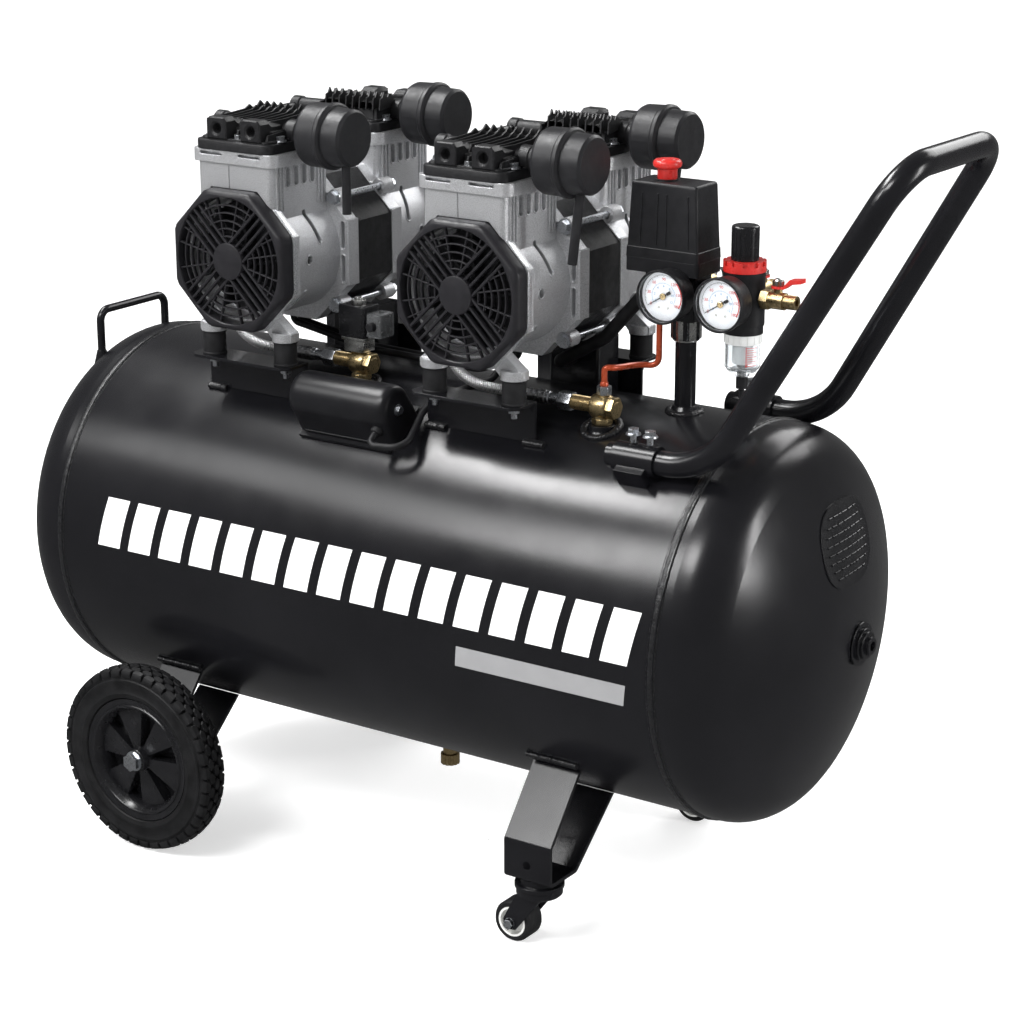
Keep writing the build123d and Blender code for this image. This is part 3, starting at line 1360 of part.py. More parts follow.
with BuildPart() as front_cover:
    add(radial_box(46, 185, 246, TANK_X - 88, TANK_X + 30, 16))
    add(radial_box(60, 185, 196, TANK_X - 84, TANK_X + 26, 1))
    add(radial_box(41, 180, 243.5, TANK_X - 85.5, TANK_X + 27.5, 14), mode=Mode.SUBTRACT)
    add(ENVELOPE, mode=Mode.SUBTRACT)
with BuildPart() as rear_boxes:
    for px in PUMP_X:
        with BuildSketch(Plane.XY.offset(REAR_BOX_TOP)):
            with Locations((px + 8, REAR_BOX_Y)):
                RectangleRounded(58, 40, 4)
        extrude(amount=-80)
    chamfer(rear_boxes.edges().group_by(Axis.Z)[-1], 1.5)
    add(ENVELOPE, mode=Mode.SUBTRACT)
with BuildPart() as capacitor_covers:
    add(front_cover.part)
    add(rear_boxes.part)
save(capacitor_covers.part, "capacitor_covers")

CAP_MIDDLE = 217.0
cap_y = -CAP_MIDDLE * sin(CAP_TURN)
cap_z = TANK_Z + CAP_MIDDLE * cos(CAP_TURN)
with BuildPart() as capacitors:
    add(round_bar(TANK_X - 78, cap_y, cap_z, 18.5, 96, (1, 0, 0)))
save(capacitors.part, "capacitors")

# Cables: conduit from the switch, two motor leads over the tank, capacitor lead.
conduit = [
    (TANK_X + 236, 2, SWITCH_Z[0] - GAP),
    (TANK_X + 236, 2, 614),
    (TANK_X + 181, 8, 555),
    (PUMP_X[1] + 8, 14, 520),
    (PUMP_X[1] + 8, REAR_BOX_Y - 20 - GAP, 520),
]
leads = []
for y in (-16, -5):
    leads.append(
        [
            (PUMP_X[0] - 22, y, MOTOR_Z - STATOR / 2 - GAP),
            (PUMP_X[0] - 22, y, 529),
            (PUMP_X[0] + 75, y, 513),
            (PUMP_X[1] - 62, y, 510),
            (PUMP_X[1] - 22, y, 526),
            (PUMP_X[1] - 22, y, MOTOR_Z - STATOR / 2 - GAP),
        ]
    )
cap_lead = [
    (TANK_X + 17, -139.6, 470.6),
    (TANK_X + 17, -156, 459.5),
    (TANK_X + 55, -146, 460),
    (TANK_X + 36, -84, 490),
    (PUMP_X[1] - 24, -36, 512),
    (PUMP_X[1] - 24, -36, MOTOR_Z - STATOR / 2 - 1 - GAP),
]
with BuildPart() as control_cables:
    for name, points, radius in (
        ("conduit", conduit, 6.5),
        ("lead 1", leads[0], 3.5),
        ("lead 2", leads[1], 3.5),
        ("capacitor lead", cap_lead, 3.5),
    ):
        radii = bend_radii(points, 40)
        print(name, [round(r, 1) for r in radii])
        add(route(points, radii, radius))
save(control_cables.part, "control_cables")

# Flange bolts that pinch the pull handle in its clamps.
with BuildPart() as flange_bolts:
    for sy in (-1, 1):
        for x in CLAMP_BOLTS:
            reach = CLAMP_BOLT_TOP - HANDLE_Z - HANDLE_R - GAP
            add(flange_bolt(x, sy * HANDLE_Y, CLAMP_BOLT_TOP, 3, reach))
save(flange_bolts.part, "flange_bolts")
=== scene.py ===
import random
from math import asin, cos, pi, radians, sin, sqrt

import bmesh
import bpy
from mathutils import Matrix, Vector


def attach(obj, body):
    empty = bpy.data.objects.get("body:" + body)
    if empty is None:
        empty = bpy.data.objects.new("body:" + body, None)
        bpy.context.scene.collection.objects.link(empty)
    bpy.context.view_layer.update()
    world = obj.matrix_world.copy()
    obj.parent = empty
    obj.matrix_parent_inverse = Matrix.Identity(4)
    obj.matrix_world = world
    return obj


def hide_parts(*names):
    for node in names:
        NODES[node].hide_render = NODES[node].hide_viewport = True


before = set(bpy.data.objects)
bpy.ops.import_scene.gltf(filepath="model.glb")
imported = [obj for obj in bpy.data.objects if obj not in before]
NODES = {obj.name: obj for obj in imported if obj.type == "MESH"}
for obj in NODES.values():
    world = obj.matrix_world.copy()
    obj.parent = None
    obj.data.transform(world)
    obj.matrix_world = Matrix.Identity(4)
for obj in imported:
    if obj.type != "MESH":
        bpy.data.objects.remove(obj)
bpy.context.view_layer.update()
random.seed(4)

# Places, in metres, as in the CAD frame.
TX = -0.0482             # middle of the tank along X
TZ = 0.3054              # height of the tank's axis
TR = 0.1925              # radius of the tank
PUMPS = (TX - 0.1604, TX + 0.1119)
MZ = 0.6151              # height of the motors' axes
PUMP_ENDS = [(px, side, "%d_%s" % (i, end)) for i, px in enumerate(PUMPS, 1)
             for side, end in ((-1, "front"), (1, "rear"))]
WHEEL_X = TX - 0.238
CASTER_X = TX + 0.225
PIPE_X = TX + 0.275      # stand pipe, and the gauge in front of it
REG_X = TX + 0.3355      # regulator, its bowl and its gauge
GAUGE_Z = 0.616
SWITCH_X = TX + 0.253    # switch knob
VALVE_AT = 0.0195 + 0.0003   # regulator's middle to the outlet valves' near ends


# ------------------------------------------------------------------ materials
def material(name, color, rough=0.4, metal=0.0, vary=0.15, vary_scale=40.0, rough_vary=0.08,
             bump=0.0, bump_scale=900.0, grain=0.0, grain_scale=250.0, bevel=0.0, coat=0.0,
             transmission=0.0, ior=1.45, detail=4.0, specular=None, plates=0.0):
    """Procedural surface: mottled colour and gloss, fine bump, optional rounded edges."""
    m = bpy.data.materials.new(name)
    m.use_nodes = True
    nt = m.node_tree
    nt.nodes.clear()

    def node(kind, **values):
        """New node with constants on its sockets; _ in a key stands for a space."""
        made = nt.nodes.new("ShaderNode" + kind)
        for key, value in values.items():
            made.inputs[key.replace("_", " ")].default_value = value
        return made

    def noise(scale, rich):
        made = node("TexNoise", Scale=scale, Detail=rich)
        nt.links.new(vec, made.inputs["Vector"])
        return made.outputs["Fac"]

    def bumped(height, strength, distance, below):
        made = node("Bump", Strength=strength, Distance=distance)
        nt.links.new(height, made.inputs["Height"])
        if below:
            nt.links.new(below, made.inputs["Normal"])
        return made.outputs["Normal"]

    out = node("OutputMaterial")
    bsdf = node("BsdfPrincipled", Metallic=metal, IOR=ior, Coat_Weight=coat, Coat_Roughness=0.1,
                Transmission_Weight=transmission)
    nt.links.new(bsdf.outputs[0], out.inputs[0])
    if specular is not None:
        bsdf.inputs["Specular IOR Level"].default_value = specular
    vec = node("TexCoord").outputs["Object"]
    ramp = node("ValToRGB")
    lo = [c * (1 - vary) for c in color]
    hi = [min(1, c * (1 + vary) + 0.01 * vary) for c in color]
    for stop, at, shade in zip(ramp.color_ramp.elements, (0.32, 0.68), (lo, hi)):
        stop.position = at
        stop.color = (*shade, 1)
    nt.links.new(noise(vary_scale, detail), ramp.inputs["Fac"])
    nt.links.new(ramp.outputs["Color"], bsdf.inputs["Base Color"])
    gloss = node("MapRange", From_Min=0.3, From_Max=0.7, To_Min=max(0.03, rough - rough_vary),
                 To_Max=min(1.0, rough + rough_vary))
    nt.links.new(noise(vary_scale * 2.3, 6), gloss.inputs["Value"])
    nt.links.new(gloss.outputs["Result"], bsdf.inputs["Roughness"])
    normal = None
    if bevel:
        edge = node("Bevel", Radius=bevel)
        edge.samples = 4
        normal = edge.outputs["Normal"]
    if plates:
        wave = node("TexWave", Scale=plates, Distortion=0.3)
        wave.bands_direction = "Y"
        nt.links.new(vec, wave.inputs["Vector"])
        normal = bumped(wave.outputs["Fac"], 0.5, 0.0004, normal)
    for strength, scale in ((bump, bump_scale), (grain, grain_scale)):
        if strength:
            normal = bumped(noise(scale, 3), strength, 0.0006, normal)
    if normal:
        nt.links.new(normal, bsdf.inputs["Normal"])
    return m


BLACK = (0.0052, 0.0052, 0.0064)
M = {
    "tank": material("tank_paint", BLACK, 0.235, vary=0.1, vary_scale=9, rough_vary=0.03, bump=0.03,
                     bump_scale=700, grain=0.05, grain_scale=160, specular=0.5),
    "paint": material("bracket_paint", BLACK, 0.22, vary=0.12, vary_scale=14, rough_vary=0.03, bump=0.03,
                      bump_scale=700, grain=0.04, grain_scale=200, bevel=0.0007, specular=0.45),
    "cast": material("cast_alloy", (0.58, 0.585, 0.6), 0.35, metal=0.78, vary=0.2, vary_scale=1100,
                     rough_vary=0.12, bump=0.6, bump_scale=1300, grain=0.25, grain_scale=420, bevel=0.0012,
                     detail=2),
    "rim_edge": material("bright_cast_edge", (0.72, 0.73, 0.75), 0.3, metal=0.9, vary=0.15, vary_scale=600,
                         bump=0.2, bump_scale=1300, bevel=0.0005),
    "head": material("head_black", (0.009, 0.009, 0.01), 0.42, vary=0.2, vary_scale=300, bump=0.25,
                     bump_scale=1400, bevel=0.0007, specular=0.3),
    "stator": material("stator_black", (0.008, 0.008, 0.009), 0.36, vary=0.3, vary_scale=60, bump=0.12,
                       bump_scale=500, bevel=0.001, plates=260.0, specular=0.4),
    "moulded": material("moulded_black", (0.01, 0.01, 0.0115), 0.42, vary=0.12, vary_scale=120, bump=0.14,
                        bump_scale=2600, bevel=0.0006, specular=0.3),
    "gloss": material("gloss_black", (0.0065, 0.0065, 0.0075), 0.24, vary=0.12, vary_scale=60,
                      rough_vary=0.05,
                      bump=0.05, bump_scale=1200),
    "satin": material("satin_black", BLACK, 0.33, vary=0.12, vary_scale=40, rough_vary=0.03, bump=0.03,
                      bump_scale=700, grain=0.05, grain_scale=260, specular=0.4),
    "cover": material("cover_black", (0.0125, 0.012, 0.014), 0.38, vary=0.1, vary_scale=120, bump=0.1,
                      bump_scale=2600, specular=0.3),
    "filter": material("filter_black", (0.013, 0.013, 0.0145), 0.4, vary=0.12, vary_scale=70, bump=0.12,
                       bump_scale=2400, bevel=0.0009, specular=0.3),
    "zinc": material("zinc_plate", (0.62, 0.64, 0.67), 0.3, metal=1.0, vary=0.08, vary_scale=260,
                     rough_vary=0.06,
                     bump=0.02, bump_scale=1600, bevel=0.0004),
    "brass": material("brass", (0.55, 0.42, 0.22), 0.33, metal=1.0, vary=0.2, vary_scale=300, rough_vary=0.1,
                      bump=0.06, bump_scale=900, bevel=0.0005),
    "steel": material("turned_steel", (0.5, 0.5, 0.51), 0.32, metal=1.0, vary=0.12, vary_scale=200,
                      bevel=0.0003),
    "rubber": material("rubber", (0.008, 0.008, 0.009), 0.62, vary=0.25, vary_scale=90, bump=0.3,
                       bump_scale=1300, bevel=0.0006, specular=0.3),
    "tyre": material("tyre_rubber", (0.0055, 0.0055, 0.0062), 0.55, vary=0.25, vary_scale=60, bump=0.25,
                     bump_scale=1500, specular=0.3),
    "cable": material("cable_skin", (0.007, 0.007, 0.008), 0.48, vary=0.2, vary_scale=90, bump=0.15,
                      bump_scale=1500, specular=0.3),
    "red": material("red_plastic", (0.5, 0.022, 0.018), 0.32, vary=0.12, vary_scale=120, bump=0.08,
                    bump_scale=1800, bevel=0.0005),
    "copper": material("lacquered_copper", (0.4, 0.06, 0.02), 0.3, metal=0.35, vary=0.14, vary_scale=70,
                       bump=0.06, bump_scale=900, coat=0.3),
    "core": material("caster_core", (0.62, 0.62, 0.6), 0.4, vary=0.1, vary_scale=150, bump=0.1,
                     bump_scale=1500, bevel=0.0005),
    "clear": material("clear_bowl", (0.9, 0.93, 0.95), 0.12, vary=0.02, vary_scale=50, rough_vary=0.03,
                      transmission=0.92, ior=1.35, bump=0.03, bump_scale=300),
    "glass": material("gauge_glass", (1.0, 1.0, 1.0), 0.04, vary=0.0, vary_scale=30, rough_vary=0.01,
                      transmission=1.0, ior=1.2),
    "collar": material("bowl_collar", (0.78, 0.79, 0.78), 0.35, vary=0.05, vary_scale=100, bump=0.05,
                       bump_scale=1500, transmission=0.15, bevel=0.0005),
    "dial": material("dial_white", (0.88, 0.91, 0.95), 0.5, vary=0.02, vary_scale=200, bump=0.02),
    "ink": material("dial_ink", (0.02, 0.02, 0.022), 0.5, vary=0.1, vary_scale=300),
    "ink_red": material("dial_red", (0.6, 0.04, 0.035), 0.5, vary=0.1, vary_scale=300),
    "ink_blue": material("dial_blue", (0.1, 0.28, 0.5), 0.5, vary=0.1, vary_scale=300),
    "white": material("decal_white", (0.82, 0.82, 0.82), 0.36, vary=0.03, vary_scale=60, bump=0.04,
                      bump_scale=900),
    "grey": material("decal_grey", (0.24, 0.24, 0.245), 0.36, vary=0.03, vary_scale=60, bump=0.04,
                     bump_scale=900),
    "weld": material("weld_bead", (0.007, 0.007, 0.008), 0.3, vary=0.3, vary_scale=300, bump=0.5,
                     bump_scale=500, grain=0.4, grain_scale=1500),
    "braid": material("braid_wire", (0.78, 0.78, 0.79), 0.32, metal=0.75, vary=0.25, vary_scale=900,
                      rough_vary=0.1),
    "dark": material("inside_dark", (0.006, 0.006, 0.007), 0.7, vary=0.2, vary_scale=60),
    "connector": material("clear_connector", (0.16, 0.165, 0.17), 0.2, vary=0.1, vary_scale=90,
                          transmission=0.6, ior=1.4, bevel=0.0005),
    "nickel": material("nickel", (0.6, 0.6, 0.58), 0.3, metal=1.0, vary=0.12, vary_scale=200, bevel=0.0005),
}

CAD_LOOKS = {
    "tank": ["tank_shell", "tank_ends"],
    "paint": ["tank_fittings", "axle_brackets", "pump_brackets", "handle_sockets", "pull_handle",
              "grab_handle", "caster_plates", "caster_fork_front", "caster_fork_rear", "manifold_block"],
    "cast": ["crankcases", "pump_1_pistons", "pump_2_pistons"],
    "head": ["cylinder_heads"],
    "stator": ["motor_stators"],
    "moulded": ["capacitor_covers", "switch_base", "switch_cover", "regulator_body",
                "bowl_drain", "pump_1_fans", "pump_2_fans", "fan_covers", "wheel_rim_front",
                "wheel_rim_rear", "capacitors", "solenoid_valve"],
    "gloss": ["regulator_knob", "gauge_cases"],
    "filter": ["air_filters"],
    "zinc": ["flange_bolts", "pump_bolts", "wheel_axles", "safety_ring"],
    "brass": ["outlet_valves", "check_valves", "safety_valve", "drain_valve", "drain_tap"],
    "steel": ["pump_1_shaft", "pump_2_shaft"],
    "rubber": ["rubber_feet", "caster_tyre_front", "caster_tyre_rear"],
    "tyre": ["wheel_tyre_front", "wheel_tyre_rear"],
    "cable": ["control_cables"],
    "red": ["switch_knob", "regulator_ring", "valve_lever_1", "valve_lever_2"],
    "copper": ["air_tubes"],
    "core": ["caster_core_front", "caster_core_rear"],
    "clear": ["filter_bowl"],
    "braid": ["braided_hoses"],
    "ink": ["gauge_needle_1", "gauge_needle_2"],
}
for look, names in CAD_LOOKS.items():
    for n in names:
        mesh = NODES[n].data
        mesh.materials.clear()
        mesh.materials.append(M[look])


# ------------------------------------------------------------------ mesh helpers
def piece(name, verts, faces, mat, body="tank", smooth=35.0, slot=None, replaces=()):
    """Mesh object in the row frame, riding on a body."""
    me = bpy.data.meshes.new(name)
    me.from_pydata([tuple(v) for v in verts], [], faces)
    me.validate()
    bm = bmesh.new()
    bm.from_mesh(me)
    bmesh.ops.remove_doubles(bm, verts=bm.verts, dist=1e-6)
    bmesh.ops.recalc_face_normals(bm, faces=bm.faces)
    bm.to_mesh(me)
    bm.free()
    return dress(name, me, mat, body, smooth, replaces)


def dress(name, me, mat, body="tank", smooth=35.0, replaces=()):
    ob = bpy.data.objects.new(name, me)
    bpy.context.scene.collection.objects.link(ob)
    me.materials.clear()
    me.materials.append(M[mat])
    if smooth:
        me.shade_smooth()
        me.set_sharp_from_angle(angle=radians(smooth))
    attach(ob, body)
    if replaces:
        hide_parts(*replaces)
    return ob


def frame_for(axis):
    z = Vector(axis).normalized()
    x = Vector((0, 0, 1)) if abs(z.z) < 0.9 else Vector((1, 0, 0))
    x = (x - z * x.dot(z)).normalized()
    return x, z.cross(x), z


def circle(r, n):
    """Points of a circle of radius r, as n pairs."""
    return [(r * cos(2 * pi * k / n), r * sin(2 * pi * k / n)) for k in range(n)]


def rounded(cx, cy, half_w, half_d, r, n=5):
    """Rectangle with round corners; half_w and half_d reach the corners' centres."""
    pts = []
    for ax, ay, a0 in ((1, 1, 0), (-1, 1, 90), (-1, -1, 180), (1, -1, 270)):
        for k in range(n + 1):
            a = radians(a0 + 90 * k / n)
            pts.append((cx + ax * half_w + r * cos(a), cy + ay * half_d + r * sin(a)))
    return pts


def round_section(w, h, r, n=3):
    """Rounded rectangle, w across and h high, as (side, up) pairs."""
    return rounded(0, 0, w / 2 - r, h / 2 - r, r, n)


class Build:
    """Collects vertices and faces of one piece."""

    def __init__(self):
        self.v = []
        self.f = []

    def grid(self, rows, close_u=True, cap=False, close_v=False):
        """Rows of points, joined in quads."""
        base = len(self.v)
        n = len(rows[0])
        for r in rows:
            self.v.extend(r)
        m = len(rows)
        for i in range(m if close_v else m - 1):
            for j in range(n if close_u else n - 1):
                a = base + i * n + j
                b = base + i * n + (j + 1) % n
                c = base + ((i + 1) % m) * n + (j + 1) % n
                d = base + ((i + 1) % m) * n + j
                self.f.append((a, b, c, d))
        if cap:
            self.f.append(tuple(base + j for j in range(n)))
            self.f.append(tuple(base + (m - 1) * n + j for j in reversed(range(n))))

    def lathe(self, prof, origin, axis, seg=96, radius=None):
        """Profile of (along, radius) turned round the axis."""
        x, y, z = frame_for(axis)
        o = Vector(origin)
        rows = []
        for along, r in prof:
            row = []
            for k in range(seg):
                a = 2 * pi * k / seg
                rr = max(r, 1e-6) if radius is None else max(radius(r, a), 1e-6)
                row.append(o + z * along + x * (rr * cos(a)) + y * (rr * sin(a)))
            rows.append(row)
        self.grid(rows)

    def hexa(self, low, high):
        self.grid([[Vector(p) for p in low], [Vector(p) for p in high]], cap=True)

    def sweep(self, path, section, closed=False, up=(0, 1, 0)):
        """Section of (side, up) pairs carried along a path of points."""
        rows = []
        n = len(path)
        up = Vector(up)
        for i in range(n):
            a = path[(i - 1) % n] if closed or i else path[0]
            b = path[(i + 1) % n] if closed or i < n - 1 else path[-1]
            t = (Vector(b) - Vector(a)).normalized()
            s = t.cross(up).normalized()
            u = s.cross(t)
            rows.append([Vector(path[i]) + s * p + u * q for p, q in section])
        self.grid(rows, cap=not closed, close_v=closed)

    def make(self, name, mat, node=None, **k):
        """Make the piece; node is the CAD node that it stands for, which is hidden in its place."""
        if node:
            k.update(slot=node, replaces=(node,))
        return piece(name, self.v, self.f, mat, **k)


def smooth_path(points, count=200):
    """Points along a NURBS spline through the route's control points."""
    cu = bpy.data.curves.new("route", "CURVE")
    cu.dimensions = "3D"
    sp = cu.splines.new("NURBS")
    sp.points.add(len(points) - 1)
    for p, q in zip(sp.points, points):
        p.co = (*q, 1)
    sp.order_u = 3
    sp.use_endpoint_u = True
    sp.resolution_u = 24
    ob = bpy.data.objects.new("route", cu)
    bpy.context.scene.collection.objects.link(ob)
    bpy.context.view_layer.update()
    me = bpy.data.meshes.new_from_object(ob.evaluated_get(bpy.context.evaluated_depsgraph_get()))
    pts = [v.co.copy() for v in me.vertices]
    bpy.data.objects.remove(ob)
    bpy.data.meshes.remove(me)
    dist = [0.0]
    for a, b in zip(pts, pts[1:]):
        dist.append(dist[-1] + (b - a).length)
    res = []
    j = 0
    for i in range(count):
        d = dist[-1] * i / (count - 1)
        while j < len(dist) - 2 and dist[j + 1] < d:
            j += 1
        span = max(dist[j + 1] - dist[j], 1e-9)
        res.append(pts[j].lerp(pts[j + 1], (d - dist[j]) / span))
    return res, dist[-1]


def moving_frames(path):
    """Side and up vectors along a path, without twist."""
    t0 = (path[1] - path[0]).normalized()
    side = frame_for(t0)[0]
    frames = []
    for i in range(len(path)):
        a = path[max(i - 1, 0)]
        b = path[min(i + 1, len(path) - 1)]
        t = (b - a).normalized()
        side = (side - t * side.dot(t)).normalized()
        frames.append((side.copy(), t.cross(side)))
    return frames


# ------------------------------------------------------------------ fan covers
def octagon_radius(a, flats, soft=0.0):
    """Radius of a level-sided octagon at angle a, with its corners eased."""
    step = pi / 4
    d = (a + step / 2) % step - step / 2
    r = flats / 2 / cos(d)
    limit = flats / 2 / cos(step / 2) - soft
    return min(r, limit)


def fan_cover(px, side, name):
    b = Build()
    seg = 160
    out = side * 1.0

    def ring(y, f):
        return [Vector((px + f(2 * pi * k / seg) * sin(2 * pi * k / seg), out * y,
                        MZ + f(2 * pi * k / seg) * cos(2 * pi * k / seg))) for k in range(seg)]

    def octagon(y, grow):
        return ring(y, lambda a: octagon_radius(a, 0.138 + grow, 0.0012))

    def round_ring(y, r):
        return ring(y, lambda a: r)
    rows = [octagon(0.1272, 0), octagon(0.1395, -0.0004), octagon(0.1418, -0.0022), octagon(0.1434, -0.006),
            ring(0.1441, lambda a: octagon_radius(a, 0.1295, 0.002)),
            ring(0.1443, lambda a: 0.55 * octagon_radius(a, 0.127, 0.003) + 0.45 * 0.0636),
            round_ring(0.1441, 0.0634), round_ring(0.1432, 0.0628), round_ring(0.1272, 0.0624)]
    b.grid(rows, close_v=True)
    sec = round_section(0.0029, 0.0052, 0.0012, 2)
    face = 0.1405
    up = (0, 1, 0)
    # hub
    b.lathe([(0.004, 0.0), (0.0040, 0.0172), (0.0036, 0.0180), (0.0028, 0.0184), (-0.005, 0.0184),
             (-0.005, 0.0)],
            (px, out * 0.1402, MZ), (0, out, 0), 64)
    # bundles of parallel bars on the diagonals
    for q in range(4):
        a = radians(45 + 90 * q)
        d = Vector((cos(a), 0, sin(a)))
        s = Vector((-sin(a), 0, cos(a)))
        for off in (-0.0117, -0.0039, 0.0039, 0.0117):
            r0 = sqrt(max(0.0183 ** 2 - off ** 2, 0.0)) - 0.0008
            r1 = sqrt(0.0632 ** 2 - off ** 2)
            p0 = Vector((px, out * face, MZ)) + s * off + d * max(r0, 0.006)
            p1 = Vector((px, out * face, MZ)) + s * off + d * r1
            b.sweep([p0, p1], sec, up=up)
    # rings and spokes in the four open sectors
    thin = round_section(0.0017, 0.0042, 0.0007, 2)
    for q in range(4):
        mid = radians(90 * q)
        for r in (0.0245, 0.0322, 0.0399, 0.0476, 0.0553):
            half = radians(45) - asin(min(0.0122 / r, 0.99))
            if half < 0.05:
                continue
            n = 18
            arc = [Vector((px + r * cos(mid - half + 2 * half * k / n), out * (face - 0.0004),
                           MZ + r * sin(mid - half + 2 * half * k / n))) for k in range(n + 1)]
            b.sweep(arc, thin, up=up)
        for turn, r0 in ((-12, 0.0245), (12, 0.0245), (-27, 0.0399), (27, 0.0399)):
            a = mid + radians(turn)
            b.sweep([Vector((px + r * cos(a), out * (face - 0.0006), MZ + r * sin(a))) for r in (r0, 0.0632)],
                    thin, up=up)
    return b.make(name, "cover", node="fan_covers", smooth=32)


for px, side, tag in PUMP_ENDS:
    fan_cover(px, side, "fan_cover_" + tag)


# ------------------------------------------------------------------ main wheels
def wheel(side, tag):
    o = Vector((WHEEL_X, side * 0.2095, 0.099))
    axis = (0, side, 0)
    body = "wheel_" + tag
    x, y, z = frame_for(axis)
    w = 0.015

    def at(u, rad, v):
        """Point at angle u, radius rad and distance v outboard of the wheel's middle."""
        return o + z * v + x * (rad * cos(u)) + y * (rad * sin(u))
    b = Build()
    prof = [(-w + .0022, .0664), (w - .0022, .0664), (w - .001, .0672), (w - .0006, .0695),
            (w + .0003, .0712),
            (w + .0004, .0722), (w - .0002, .0735), (w - .0009, .0762), (w - .0011, .0790),
            (w - .0006, .0822),
            (w + .0001, .0843), (w + .0004, .0853), (w + .0002, .0864), (w - .0009, .0872),
            (w - .0012, .0890),
            (w - .0022, .0912), (w - .0045, .0934), (0, .0944), (-w + .0045, .0934), (-w + .0022, .0912),
            (-w + .0006, .0872), (-w - .0004, .0853), (-w + .0011, .0790), (-w - .0003, .0712),
            (-w + .0022, .0664)]
    b.lathe(prof, o, axis, 144)

    def lug(ring, low, high, taper):
        """Raised block over an outline of (angle, across) pairs."""
        cu = sum(u for u, _ in ring) / len(ring)
        cv = sum(v for _, v in ring) / len(ring)
        rows = []
        for rad, shrink in ((low, 1.04), (high - 0.0007, 1.0), (high, 1 - taper)):
            row = []
            for u, v in ring:
                uu, vv = cu + (u - cu) * shrink, cv + (v - cv) * shrink
                row.append(at(uu, rad - 0.0034 * (vv / w) ** 2, vv))
            rows.append(row)
        b.grid(rows, cap=True)
    n = 40
    st = 2 * pi / n
    cell = 0.0036
    # three staggered rows of six-sided lugs between two rows of shoulder blocks
    for k in range(n):
        for row_v, shift in ((-0.0066, 0.0), (0.0, 0.5), (0.0066, 0.0)):
            c = (k + shift) * st
            hu = 0.42 * st
            ring = [(c - hu, row_v), (c - hu * 0.55, row_v - cell * 0.86),
                    (c + hu * 0.55, row_v - cell * 0.86),
                    (c + hu, row_v), (c + hu * 0.55, row_v + cell * 0.86),
                    (c - hu * 0.55, row_v + cell * 0.86)]
            lug(ring, 0.0935, 0.0989, 0.14)
        c = (k + 0.5) * st
        for s in (-1, 1):
            hu = 0.41 * st
            ring = [(c - hu, s * 0.0142), (c - hu, s * 0.0104), (c - hu * 0.4, s * 0.0089),
                    (c + hu * 0.4, s * 0.0089),
                    (c + hu, s * 0.0104), (c + hu, s * 0.0142)]
            lug(ring, 0.0925, 0.0988, 0.1)
            # the same block carried down over the shoulder
            rows = []
            for rad, out_ in ((0.0962, 0.0134), (0.0948, 0.0146), (0.0925, 0.0151), (0.0905, 0.0152),
                              (0.0892, 0.0146), (0.0888, 0.0138)):
                rows.append([at(c + f * hu, rad, s * (out_ - d)) for f,
                             d in ((-1.0, 0.0022), (-0.93, 0.0003), (0, 0.0), (0.93, 0.0003), (1.0, 0.0022))])
            b.grid(rows, close_u=False)
    b.make("tyre_" + tag, "tyre", body=body, node="wheel_tyre_" + tag, smooth=30)

    r = Build()
    rim = [(0.0124, 0.0560), (0.0133, 0.0566), (0.0136, 0.0576), (0.0132, 0.0586), (0.0118, 0.0596),
           (0.0116, 0.0625),
           (0.0126, 0.0640), (0.0126, 0.0655), (0.0105, 0.0662), (-0.0105, 0.0662), (-0.0125, 0.0655),
           (-0.0125, 0.0575),
           (-0.0115, 0.0512), (-0.0060, 0.0508), (0.0010, 0.0510), (0.0045, 0.0516), (0.0095, 0.0538),
           (0.0124, 0.0560)]
    r.lathe(rim, o, axis, 132)
    hub = [(0.0146, 0.0066), (0.0146, 0.0108), (0.0141, 0.0116), (0.0128, 0.0122), (0.004, 0.0136),
           (-0.004, 0.0138),
           (-0.0128, 0.014), (-0.0132, 0.0066), (0.0146, 0.0066)]
    r.lathe(hub, o, axis, 72)
    r.lathe([(-0.0085, 0.0130), (-0.0085, 0.0512), (-0.0100, 0.0512), (-0.0100, 0.0130), (-0.0085, 0.0130)],
            o, axis, 96)
    # six broad flat spokes whose straight sides face each other across the windows
    for k in range(6):
        mid = 2 * pi * k / 6 + radians(16)
        rows = []
        for i in range(8):
            f = i / 7
            rad = 0.0118 + (0.0517 - 0.0118) * f
            half = asin(min((0.0046 + 0.0118 * f) / rad, 0.99))
            face = 0.0072 - 0.0030 * f
            row = [at(mid + half * (2 * m_ / 8 - 1), rad, face - (0.0006 if m_ in (0, 8) else 0))
                   for m_ in range(9)]
            row += [at(mid + half * (2 * m_ / 8 - 1), rad, -0.0087) for m_ in range(8, -1, -1)]
            rows.append(row)
        r.grid(rows, cap=True)
    r.make("rim_" + tag, "gloss", body=body, node="wheel_rim_" + tag, smooth=40)
    back = Build()
    for rib in range(12):
        a = 2 * pi * rib / 12
        rows = [[at(a - 0.0008 / rad, rad, v) for v in (-0.0085, -0.0020)]
                + [at(a + 0.0008 / rad, rad, v) for v in (-0.0020, -0.0085)]
                for rad in (0.0130, 0.0510)]
        back.grid(rows, cap=True)
    back.make("rim_ribs_" + tag, "gloss", body=body, slot="wheel_rim_" + tag, smooth=0)


wheel(-1, "front")
wheel(1, "rear")


